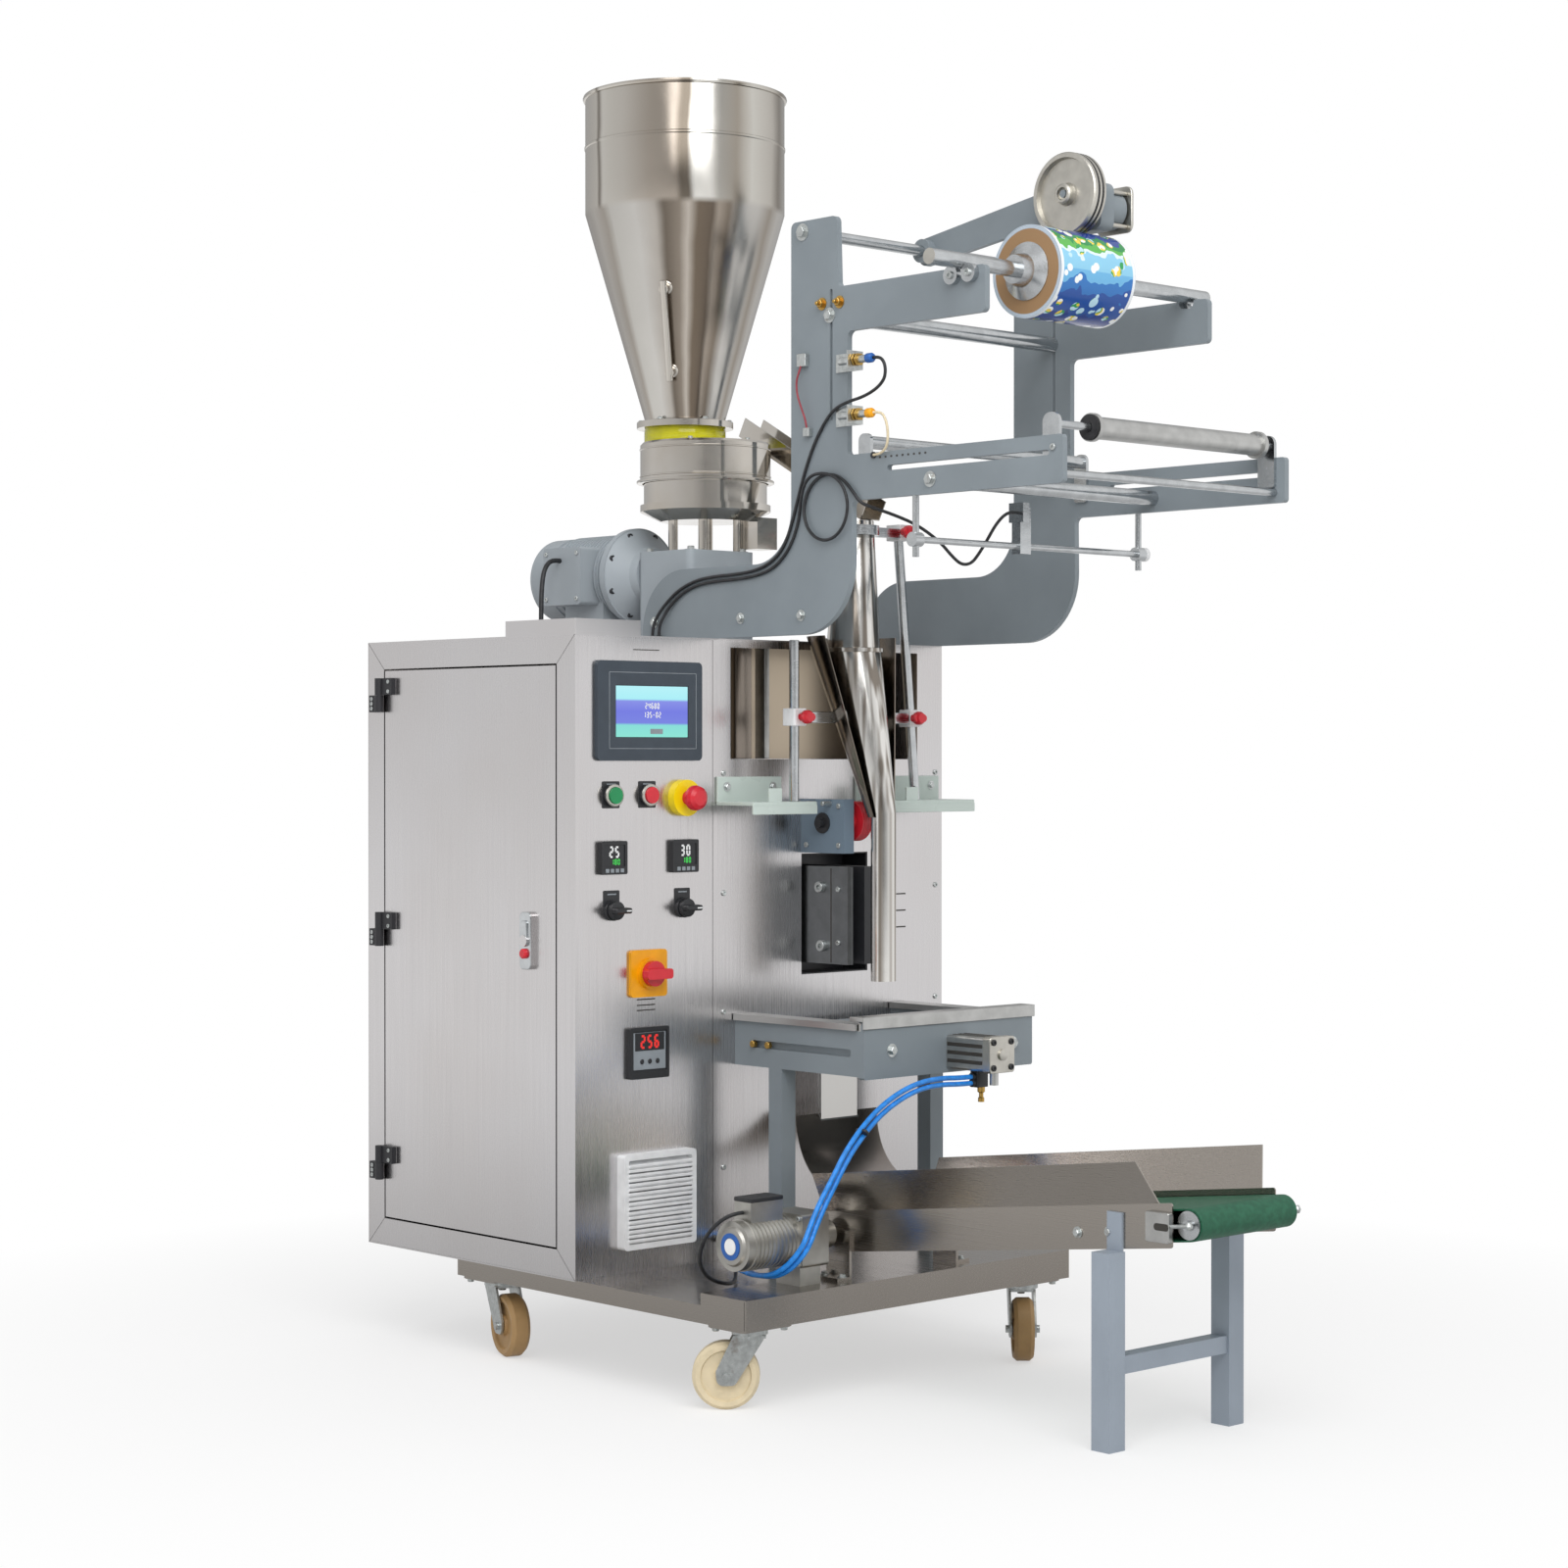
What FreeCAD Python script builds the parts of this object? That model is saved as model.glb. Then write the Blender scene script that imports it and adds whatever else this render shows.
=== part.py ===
import FreeCAD, Part
import math
import os

# A form, fill and seal machine for small bags, with a cup filler under a hopper,
# a film unwinder in front of the cabinet and a take-away conveyor.
# Millimetres. While it is modelled, X runs to the right along the cabinet front,
# Y runs to the back, the cabinet front is Y = 0, its left face is X = 0 and the floor is Z = 0.
# At the end everything is moved so that the origin is the middle of the footprint, on the floor.

V = FreeCAD.Vector
AX_X = V(1, 0, 0)
AX_Y = V(0, 1, 0)
AX_Z = V(0, 0, 1)

# Cabinet
CAB_W = 810.0
CAB_D = 545.0
CAB_Z0 = 150.0
CAB_Z1 = 1150.0
SHEET = 2.5
PANEL_W = 283.0
PANEL_GAP = 1.0
DOOR_FRAME = 45.0
DOOR_GAP = 3.0
DOOR_FOLD = 18.0
HINGE_Z = (110.0, 497.0, 884.0)
HINGE_H = 56.0
HINGE_R = 7.0
HINGE_PIN_R = 3.5
HINGE_OUT = 9.0
LATCH_Z = 522.0
WINDOW_Z0 = 806.0
WINDOW_TOP = 14.0
POST_L = 39.0
POST_R = 60.0
RECESS_D = 130.0
SEAM = 0.2
PLINTH = (134.0, 175.0, 24.0)
SEAL_CUT = (479.0, 631.0, 602.0, 801.0)

# Base frame and castors
BEAM_L = 700.0
BEAM_D = 100.0
BEAM_Y = -391.0
BEAM_H = 45.0
RAIL_H = 25.0
RAIL_W = 60.0
REAR_Y = 200.0
PAN_T = 2.0
CASTOR_H = 125.0
WHEEL_R = 50.0
WHEEL_W = 32.0
CASTOR_TRAIL = 35.0
CASTOR_PLATE = (100.0, 82.0, 4.0)
AXLE_R = 6.0
RUN_FIT = 0.1
CASTOR_X = (52.0, 640.0)
CASTOR_YF = -342.0
CASTOR_YR = 250.0
CASTOR_TURN = (137.0, 227.0, 254.0, 235.0)

# Panel instruments, as left, right, bottom and top on the cabinet front
SCREEN = (39.0, 255.0, 954.0, 1110.0)
SCREEN_GLASS = (76.0, 226.0, 990.0, 1072.0)
SCREEN_T = 7.0
BUTTON_X = (71.0, 145.0)
BUTTON_Z = 900.0
BUTTON_R = 13.0
BUTTON_STROKE = 4.0
ESTOP = (218.0, 895.0)
ESTOP_RING_R = 29.0
ESTOP_R = 20.0
SELECTOR_X = (72.0, 218.0)
SELECTOR_Z = 721.0
CONTROL_SMALL = ((46.0, 98.0), (192.0, 246.0))
CONTROL_SMALL_Z = (777.0, 829.0)
CONTROL_BIG = (104.0, 184.0, 455.0, 536.0)
SWITCH = (108.0, 182.0, 583.0, 657.0)
VENT = (84.0, 233.0, 190.0, 339.0)
VENT_T = 18.0
LOUVRES = 9

# Side plates of the film frame
PLATE_T = 10.0
PLATE_XL = 290.0
PLATE_XR = 800.0
PLATE_TOP = 1792.0
COLUMN_Y = -177.0
COLUMN_W = 126.0
FOOT_H = 114.0
FOOT_BACK = 180.0
ARM_HI = (1612.0, 1682.0, -592.0)
ARM_LO = (1352.0, 1422.0, -744.0)
ROD_R = 9.0
TOP_ROD = (-203.0, 1775.0)
SHAFT_Y = -548.0
SHAFT_Z = 1690.0
SHAFT_R = 12.0
CRADLE_R = 14.0
CRADLE_DY = 18.0
ROLL_X = (428.0, 596.0)
ROLL_R = 70.0
CORE_R = 38.0
FRONT_ROLLER = (-712.0, 1440.0)
REAR_ROLLER = (-330.0, 1441.0)
BEARING_T = 6.0
ROLLER_R = 16.5
FIT = 0.3
DRIVE_WHEEL_R = 64.0
DRIVE_WHEEL_X = 536.0
DRIVE_WHEEL_W = 26.0
WHEEL_GAP = 0.5
SWING_R = 325.0
SENSOR_Y = -445.0
SENSOR_Z = 1286.0

# Filler on the roof
DRUM_X = 395.0
DRUM_Y = 143.0
DRUM_R = 108.0
DRUM_Z = (1349.0, 1376.0, 1409.0, 1417.0, 1475.0)
HOPPER_X = 372.0
HOPPER_Y = 168.0
HOPPER_R = 165.0
HOPPER_WALL = 2.0
HOPPER_Z = (1515.0, 1857.0, 2050.0)
HOPPER_OUT_R = 66.0
MOTOR_R = 68.0
MOTOR_X = 345.0
MOTOR_Z = 1262.0
FLANGE_Y = 262.0
CHUTE_X = 534.0
CHUTE_W = 22.0

# Forming tube and sealing jaws
TUBE_X = 520.0
TUBE_Y = -132.0
TUBE_R = 14.0
TUBE_WALL = 1.5
TUBE_Z = (597.0, 880.0, 1130.0, 1345.0)
FUNNEL_R = 30.0
COLLAR_R = 122.0
COLLAR_Z = (862.0, 1142.0)
STAND_X = (395.0, 645.0)
STAND_Y = -72.0
STAND_FOOT = 888.0
STAND_BAR = 1012.0
SEAL_X = (332.0, 715.0)
SEAL_Y = -297.0
SEAL_Z = (460.0, 550.0)
SEAL_T = 12.0
RAIL_T = 30.0
CYL_SIZE = 54.0
CYL_LEN = 92.0
JAW_STROKE = 50.0
JAW_GAP = 6.0
JAW_REAR_Y = -126.0
SIDE_STROKE = 20.0
SIDE_JAW_T = 12.0
PULL_WHEEL = (-80.0, 855.0)
PULL_WHEEL_R = 32.0

# Conveyor
CONV_X = (242.0, 469.0)
CONV_SLOPE = 7.0
CONV_TAIL = (-322.0, 238.0)
CONV_HEAD_Y = -1010.0
CONV_ROLLER_R = 20.0
BELT_T = 2.5
SIDE_T = 2.5
LEG = 33.0
LEG_Y = -904.0
LEG_BAR_Z = 105.0


def box(x0, x1, y0, y1, z0, z1):
    return Part.makeBox(x1 - x0, y1 - y0, z1 - z0, V(x0, y0, z0))


def rod(start, axis, radius, length):
    return Part.makeCylinder(radius, length, V(*start), axis)


def ring(start, axis, outer, inner, length):
    return rod(start, axis, outer, length).cut(rod(start, axis, inner, length))


def joined(shapes):
    return shapes[0].multiFuse(shapes[1:]).removeSplitter()


def rounded_wire(corners, place):
    """Closed outline through the corners (u, v, radius), with an arc in place of each corner that has one."""
    edges = []
    count = len(corners)
    points = [place(u, v) for u, v, r in corners]
    ends = []
    for i in range(count):
        here = points[i]
        back = (points[i - 1] - here).normalize()
        ahead = (points[(i + 1) % count] - here).normalize()
        r = corners[i][2]
        if r == 0:
            ends.append((here, here, None))
            continue
        half = back.getAngle(ahead) / 2
        reach = r / math.tan(half)
        middle = (back + ahead).normalize()
        centre = here + middle * (r / math.sin(half))
        ends.append((here + back * reach, here + ahead * reach, centre - middle * r))
    for i in range(count):
        first, last, top = ends[i]
        if top is not None:
            edges.append(Part.Arc(first, top, last).toShape())
        start = ends[(i + 1) % count][0]
        if last.distanceToPoint(start) > 1e-6:
            edges.append(Part.LineSegment(last, start).toShape())
    return Part.Wire(edges)


def plate_yz(corners, x0, x1):
    face = Part.Face(rounded_wire(corners, lambda u, v: V(x0, u, v)))
    return face.extrude(V(x1 - x0, 0, 0))


def plate_xz(corners, y0, y1):
    face = Part.Face(rounded_wire(corners, lambda u, v: V(u, y0, v)))
    return face.extrude(V(0, y1 - y0, 0))


def plate_xy(corners, z0, z1):
    face = Part.Face(rounded_wire(corners, lambda u, v: V(u, v, z0)))
    return face.extrude(V(0, 0, z1 - z0))


def rect(a0, a1, b0, b1, r=0):
    return [(a0, b0, r), (a1, b0, r), (a1, b1, r), (a0, b1, r)]


def turned(profile, centre):
    """Solid of revolution about a vertical axis through centre, from (radius, z) points."""
    points = [V(centre[0] + r, centre[1], z) for r, z in profile]
    face = Part.Face(Part.makePolygon(points + points[:1]))
    return face.revolve(V(centre[0], centre[1], 0), AX_Z, 360)


def cabinet():
    z0, z1 = CAB_Z0, CAB_Z1
    inner0, inner1 = z0 + SHEET, z1 - SHEET
    parts = {}
    roof = box(0, CAB_W, 0, CAB_D, inner1, z1)
    plinth = plate_xy(rect(0, PLINTH[0], 0, PLINTH[1], 2), z1, z1 + PLINTH[2])
    parts["cabinet_roof"] = joined([roof, plinth])
    floor = box(0, CAB_W, 0, CAB_D - SHEET - SEAM, z0, inner0)
    back = box(0, CAB_W, CAB_D - SHEET, CAB_D, z0, inner1)
    right = box(CAB_W - SHEET, CAB_W, SHEET, CAB_D - SHEET - SEAM, inner0 + SEAM, inner1)
    recess_x0, recess_x1 = PANEL_W + POST_L, CAB_W - POST_R
    sill = z0 + WINDOW_Z0
    recess = box(recess_x0, recess_x1, RECESS_D, RECESS_D + SHEET, sill, inner1)
    shelf = box(recess_x0, recess_x1, SHEET, RECESS_D, sill - SHEET, sill)
    parts["cabinet_walls"] = Part.makeCompound([floor, back, right, joined([recess, shelf])])

    outer = box(0, SHEET, SHEET, CAB_D - SHEET - SEAM, inner0 + SEAM, inner1)
    low, high = z0 + DOOR_FRAME, z1 - DOOR_FRAME
    hole = box(-1, SHEET + 1, DOOR_FRAME, CAB_D - DOOR_FRAME, low, high)
    lip_a = box(SHEET, DOOR_FOLD, DOOR_FRAME - SHEET, DOOR_FRAME, low, high)
    lip_b = box(SHEET, DOOR_FOLD, CAB_D - DOOR_FRAME, CAB_D - DOOR_FRAME + SHEET, low, high)
    frame = joined([outer.cut(hole), lip_a, lip_b])
    hx, hy = hinge_axis()
    for offset in HINGE_Z:
        z = z0 + offset
        leaf = box(-HINGE_OUT, 0, hy, CAB_D - DOOR_FRAME + 30, z, z + HINGE_H / 2)
        knuckle = rod((hx, hy, z), AX_Z, HINGE_R, HINGE_H / 2)
        pin = rod((hx, hy, z), AX_Z, HINGE_PIN_R, HINGE_H - 4)
        frame = joined([frame, leaf, knuckle, pin])
    parts["door_frame"] = frame
    parts["control_panel"] = box(0, PANEL_W, 0, SHEET, inner0 + SEAM, inner1)

    x0 = PANEL_W + PANEL_GAP
    front = box(x0, CAB_W, 0, SHEET, inner0 + SEAM, inner1)
    front = front.cut(box(recess_x0, recess_x1, -1, SHEET + 1, sill, z1 - WINDOW_TOP))
    front = front.cut(box(SEAL_CUT[0], SEAL_CUT[1], -1, SHEET + 1, SEAL_CUT[2], SEAL_CUT[3]))
    parts["machine_front_plate"] = front
    return parts


def hinge_axis():
    return (-HINGE_OUT, CAB_D - DOOR_FRAME + 2.0)


def side_door():
    y0, y1 = DOOR_FRAME + DOOR_GAP, CAB_D - DOOR_FRAME - DOOR_GAP
    z0, z1 = CAB_Z0 + DOOR_FRAME + DOOR_GAP, CAB_Z1 - DOOR_FRAME - DOOR_GAP
    leaf = box(0, DOOR_FOLD, y0, y1, z0, z1)
    leaf = leaf.cut(box(SHEET, DOOR_FOLD + 1, y0 + SHEET, y1 - SHEET, z0 + SHEET, z1 - SHEET))
    hx, hy = hinge_axis()
    pieces = [leaf]
    for offset in HINGE_Z:
        z = CAB_Z0 + offset + HINGE_H / 2 + FIT
        top = CAB_Z0 + offset + HINGE_H
        pieces.append(box(-HINGE_OUT, 0, y1 - 30, hy, z, top))
        pieces.append(rod((hx, hy, z), AX_Z, HINGE_R, top - z))
    door = joined(pieces)
    for offset in HINGE_Z:
        z = CAB_Z0 + offset + HINGE_H / 2 - 1
        door = door.cut(rod((hx, hy, z), AX_Z, HINGE_PIN_R + RUN_FIT, HINGE_H / 2 - 2))
    lock = plate_yz(rect(y0 + 52, y0 + 80, CAB_Z0 + LATCH_Z - 45, CAB_Z0 + LATCH_Z + 45, 8), -7, 0)
    barrel = rod((-13, y0 + 66, CAB_Z0 + LATCH_Z), AX_X, 9, 13)
    return joined([door, lock, barrel])


def base_frame():
    z1 = CASTOR_H + BEAM_H
    rail_top = CASTOR_H + RAIL_H
    front = box(0, BEAM_L, BEAM_Y, BEAM_Y + BEAM_D, CASTOR_H, z1)
    rear = box(0, BEAM_L, REAR_Y, REAR_Y + BEAM_D, CASTOR_H, rail_top)
    left = box(0, RAIL_W, BEAM_Y + BEAM_D, REAR_Y, CASTOR_H, rail_top)
    right = box(BEAM_L - RAIL_W, BEAM_L, BEAM_Y + BEAM_D, REAR_Y, CASTOR_H, rail_top)
    pan = box(0, BEAM_L, BEAM_Y + BEAM_D, 0, rail_top, rail_top + PAN_T)
    pieces = [front, rear, left, right, pan]
    px, py, pt = CASTOR_PLATE
    for x in CASTOR_X:
        for y in (CASTOR_YF, CASTOR_YR):
            pieces.append(plate_xy(rect(x - px / 2, x + px / 2, y - py / 2, y + py / 2, 8), CASTOR_H - pt,
                                   CASTOR_H))
            pieces.append(rod((x, y, CASTOR_H - pt - 20), AX_Z, AXLE_R, 20))
    return joined(pieces)


def castor_fork(x, y):
    top = CASTOR_H - CASTOR_PLATE[2] - FIT
    axle_y = y + CASTOR_TRAIL
    crown = rod((x, y, top - 10), AX_Z, 27, 10)
    inner = WHEEL_W / 2 + 2
    outline = [(y - 24, top - 10, 4), (y + 24, top - 10, 4), (axle_y + 15, WHEEL_R + 8, 6),
               (axle_y + 13, WHEEL_R - 13, 10), (axle_y - 13, WHEEL_R - 13, 10)]
    pieces = [crown]
    for side in (-1, 1):
        a, b = sorted((x + side * inner, x + side * (inner + 3.5)))
        pieces.append(plate_yz(outline, a, b))
    bridge = box(x - inner - 3.5, x + inner + 3.5, y - 24, y + 24, top - 14, top - 10)
    pieces.append(bridge)
    pieces.append(rod((x - inner - 9, axle_y, WHEEL_R), AX_X, AXLE_R, 2 * inner + 18))
    fork = joined(pieces)
    return fork.cut(rod((x, y, top - 15), AX_Z, AXLE_R + RUN_FIT, 16))


def castor_wheel(x, y):
    axle_y = y + CASTOR_TRAIL
    half = WHEEL_W / 2
    profile = [(AXLE_R + RUN_FIT, -half), (16, -half), (17, -half + 5), (36, -half + 5), (38, -half + 1),
               (WHEEL_R - 5, -half), (WHEEL_R, -half + 6), (WHEEL_R, half - 6), (WHEEL_R - 5, half),
               (38, half - 1), (36, half - 5), (17, half - 5), (16, half), (AXLE_R + RUN_FIT, half)]
    points = [V(x + b, axle_y, WHEEL_R + a) for a, b in profile]
    face = Part.Face(Part.makePolygon(points + points[:1]))
    return face.revolve(V(x, axle_y, WHEEL_R), AX_X, 360)


def instruments():
    parts = {}
    bezel = plate_xz(rect(*SCREEN, 8), -SCREEN_T, 0)
    glass = box(SCREEN_GLASS[0], SCREEN_GLASS[1], -SCREEN_T - 1, -SCREEN_T + 1.5, SCREEN_GLASS[2],
                SCREEN_GLASS[3])
    parts["touch_screen"] = bezel.cut(glass)
    cases = []
    for x0, x1 in CONTROL_SMALL:
        cases.append(control_case(x0, x1, *CONTROL_SMALL_Z))
    cases.append(control_case(*CONTROL_BIG))
    parts["temperature_controllers"] = Part.makeCompound(cases)

    bezels = []
    for x in BUTTON_X:
        plate = plate_xz(rect(x - 17, x + 17, BUTTON_Z - 20, BUTTON_Z + 22, 2), -1.5, 0)
        collar = rod((x, -9, BUTTON_Z), AX_Y, BUTTON_R + 3, 9)
        bore = rod((x, -10, BUTTON_Z), AX_Y, BUTTON_R + RUN_FIT * 3, 10 - 1.5)
        bezels.append(joined([plate, collar]).cut(bore))
    for x in SELECTOR_X:
        bezels.append(rod((x, -8, SELECTOR_Z), AX_Y, 16, 8))
    bezels.append(rod((ESTOP[0], -14, ESTOP[1]), AX_Y, ESTOP_RING_R, 14).cut(
        rod((ESTOP[0], -15, ESTOP[1]), AX_Y, 11 + RUN_FIT * 3, 14)))
    parts["button_bezels"] = Part.makeCompound(bezels)

    for name, x in zip(("green_button", "red_button"), BUTTON_X):
        parts[name] = rod((x, -15, BUTTON_Z), AX_Y, BUTTON_R, 15 - 1.5 - FIT - BUTTON_STROKE)
    neck = rod((ESTOP[0], -34, ESTOP[1]), AX_Y, 11, 34 - 1 - FIT - BUTTON_STROKE)
    head = turned_y([(0, -46), (12, -45), (18, -41), (ESTOP_R, -35), (ESTOP_R, -30), (16, -27), (0, -27)],
                    ESTOP[0], ESTOP[1])
    parts["e_stop_button"] = joined([neck, head])
    for name, x in zip(("left_selector_knob", "right_selector_knob"), SELECTOR_X):
        disc = rod((x, -17, SELECTOR_Z), AX_Y, 14, 17 - 8 - FIT)
        grip = box(x - 4, x + 4, -30, -16, SELECTOR_Z - 14, SELECTOR_Z + 14)
        parts[name] = joined([disc, grip])

    x0, x1, z0, z1 = SWITCH
    plate = plate_xz(rect(x0, x1, z0, z1, 6), -6, 0)
    hub = rod(((x0 + x1) / 2, -12, (z0 + z1) / 2), AX_Y, 24, 12)
    parts["main_switch_plate"] = joined([plate, hub])
    cx, cz = (x0 + x1) / 2, (z0 + z1) / 2
    disc = rod((cx, -22, cz), AX_Y, 20, 22 - 12 - FIT)
    handle = plate_xz([(cx - 26, cz - 8, 5), (cx + 26, cz - 8, 5), (cx + 26, cz + 8, 5), (cx - 26, cz + 8, 5)],
                      -34, -21)
    parts["main_switch_handle"] = joined([disc, handle])

    x0, x1, z0, z1 = VENT
    body = plate_xz(rect(x0, x1, z0, z1, 6), -VENT_T, 0)
    body = body.cut(plate_xz(rect(x0 + 9, x1 - 9, z0 + 9, z1 - 9, 3), -VENT_T - 1, -4))
    slats = []
    pitch = (z1 - z0 - 18) / LOUVRES
    for i in range(LOUVRES):
        z = z0 + 9 + pitch * i
        slats.append(plate_yz([(-VENT_T + 1, z + 1, 0), (-VENT_T + 1, z + 3, 0), (-4, z + pitch - 1, 0),
                               (-4, z + pitch - 4, 0)], x0 + 8, x1 - 8))
    parts["vent_grille"] = joined([body] + slats)
    return parts


def control_case(x0, x1, z0, z1):
    case = plate_xz(rect(x0, x1, z0, z1, 3), -9, 0)
    return case.cut(box(x0 + 5, x1 - 5, -10, -7.5, z0 + 12, z1 - 6))


def turned_y(profile, x, z):
    """Solid of revolution about an axis along Y through (x, z), from (radius, y) points."""
    points = [V(x + r, y, z) for r, y in profile]
    face = Part.Face(Part.makePolygon(points + points[:1]))
    return face.revolve(V(x, 0, z), AX_Y, 360)


def turned_x(profile, y, z):
    """Solid of revolution about an axis along X through (y, z), from (radius, x) points."""
    points = [V(x, y, z + r) for r, x in profile]
    face = Part.Face(Part.makePolygon(points + points[:1]))
    return face.revolve(V(0, y, z), AX_X, 360)


def side_plate(x0):
    """One plate of the film frame: foot, column and two arms, with a cradle notch and adjusting slots."""
    foot = CAB_Z1 + FOOT_H
    front = COLUMN_Y - COLUMN_W
    hi0, hi1, hi_end = ARM_HI
    lo0, lo1, lo_end = ARM_LO
    outline = [(FOOT_BACK, CAB_Z1, 4), (FOOT_BACK, foot, 100), (COLUMN_Y, foot, 84), (COLUMN_Y, PLATE_TOP, 10),
               (front + 24, PLATE_TOP, 10), (front + 20, hi1, 8), (hi_end, hi1, 8), (hi_end, hi0, 8),
               (front, hi0, 10), (front, lo1, 8), (lo_end, lo1, 6), (lo_end, lo0, 6),
               (front - 10, lo0, 10), (front - 12, CAB_Z1, 112)]
    plate = plate_yz(outline, x0, x0 + PLATE_T)
    notch = plate_yz([(SHAFT_Y - SHAFT_R - 3, hi1 + 1, 0), (SHAFT_Y - SHAFT_R - 3, SHAFT_Z - SHAFT_R - 8, 10),
                      (SHAFT_Y + SHAFT_R + 3, SHAFT_Z - SHAFT_R - 8, 10), (SHAFT_Y + SHAFT_R + 3, hi1 + 1, 0)],
                     x0 - 1, x0 + PLATE_T + 1)
    slot = plate_yz(rect(lo_end + 26, front - 86, 1393, 1401, 3.9), x0 - 1, x0 + PLATE_T + 1)
    tall = plate_yz(rect(-270, -264, 1478, 1680, 2.9), x0 - 1, x0 + PLATE_T + 1)
    return plate.cut(notch).cut(slot).cut(tall)


def bearing_plate(y, z, reach, x0):
    """Small upright plate on the inside of a lower arm, round above, that holds an axle at (y, z)."""
    foot = ARM_LO[0] + 24
    outline = [(y - reach, foot, 4), (y + reach, foot, 4), (y + reach, z + reach, reach - 2),
               (y - reach, z + reach, reach - 2)]
    return plate_yz(outline, x0, x0 + BEARING_T)


def film_frame():
    parts = {}
    parts["left_side_plate"] = side_plate(PLATE_XL)
    parts["right_side_plate"] = side_plate(PLATE_XR)
    gap0, gap1 = PLATE_XL + PLATE_T, PLATE_XR
    span = gap1 - gap0
    cross = [rod((gap0, TOP_ROD[0], TOP_ROD[1]), AX_X, ROD_R, span),
             rod((gap0, -264, 1640), AX_X, 12.5, span),
             rod((gap0, -480, 1374), AX_X, 12, span),
             rod((gap0, -724, 1368), AX_X, 6, span)]
    cradles = []
    dz = math.sqrt((SHAFT_R + FIT + CRADLE_R) ** 2 - CRADLE_DY ** 2)
    for x in (PLATE_XL - 10, PLATE_XR + PLATE_T):
        for side in (-1, 1):
            cradles.append(rod((x, SHAFT_Y + side * CRADLE_DY, SHAFT_Z - dz), AX_X, CRADLE_R, 10))
    shaft = rod((218, SHAFT_Y, SHAFT_Z), AX_X, SHAFT_R, 627)
    cone_l = turned_x([(0, ROLL_X[0] - 30), (22, ROLL_X[0] - 30), (26, ROLL_X[0] - 12), (44, ROLL_X[0] - 2),
                       (44, ROLL_X[0]), (CORE_R - 0.2, ROLL_X[0]), (CORE_R - 3, ROLL_X[0] + 22),
                       (0, ROLL_X[0] + 22)], SHAFT_Y, SHAFT_Z)
    middle = (ROLL_X[0] + ROLL_X[1]) / 2
    cone_r = cone_l.mirror(V(middle, 0, 0), AX_X)
    parts["film_shaft"] = joined([shaft, cone_l, cone_r])
    parts["film_roll"] = ring((ROLL_X[0], SHAFT_Y, SHAFT_Z), AX_X, ROLL_R, CORE_R, ROLL_X[1] - ROLL_X[0])

    y, z = FRONT_ROLLER
    brackets = []
    for x0 in (gap0, gap1 - BEARING_T):
        brackets.append(bearing_plate(y, z, 16, x0))
    axle = rod((gap0 + BEARING_T, y, z), AX_X, 6, span - 2 * BEARING_T)
    front_axle = joined([brackets[0], brackets[1], axle])
    y, z = REAR_ROLLER
    rear = [bearing_plate(y, z, 13, x0) for x0 in (gap0, gap1 - BEARING_T)]
    rear.append(rod((gap0 + BEARING_T, y, z), AX_X, 10, span - 2 * BEARING_T))
    parts["cross_rods"] = Part.makeCompound(cross + cradles + [front_axle, joined(rear)])
    y, z = FRONT_ROLLER
    x0, x1 = 385.0, 775.0
    tube = turned_x([(6 + RUN_FIT, x0), (21, x0), (21, x0 + 8), (ROLLER_R, x0 + 8), (ROLLER_R, x1 - 8),
                     (21, x1 - 8), (21, x1), (6 + RUN_FIT, x1)], y, z)
    parts["front_film_roller"] = tube
    parts.update(swing_arm())
    parts.update(sensors())
    return parts


def drive_wheel_centre():
    """Where the wheel rests on the roll: SWING_R from the top rod and both radii from the shaft."""
    ty, tz = TOP_ROD
    reach = ROLL_R + DRIVE_WHEEL_R + WHEEL_GAP
    dy, dz = SHAFT_Y - ty, SHAFT_Z - tz
    span = math.hypot(dy, dz)
    along = (SWING_R ** 2 - reach ** 2 + span ** 2) / (2 * span)
    off = math.sqrt(SWING_R ** 2 - along ** 2)
    return ty + (dy * along + dz * off) / span, tz + (dz * along - dy * off) / span


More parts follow.
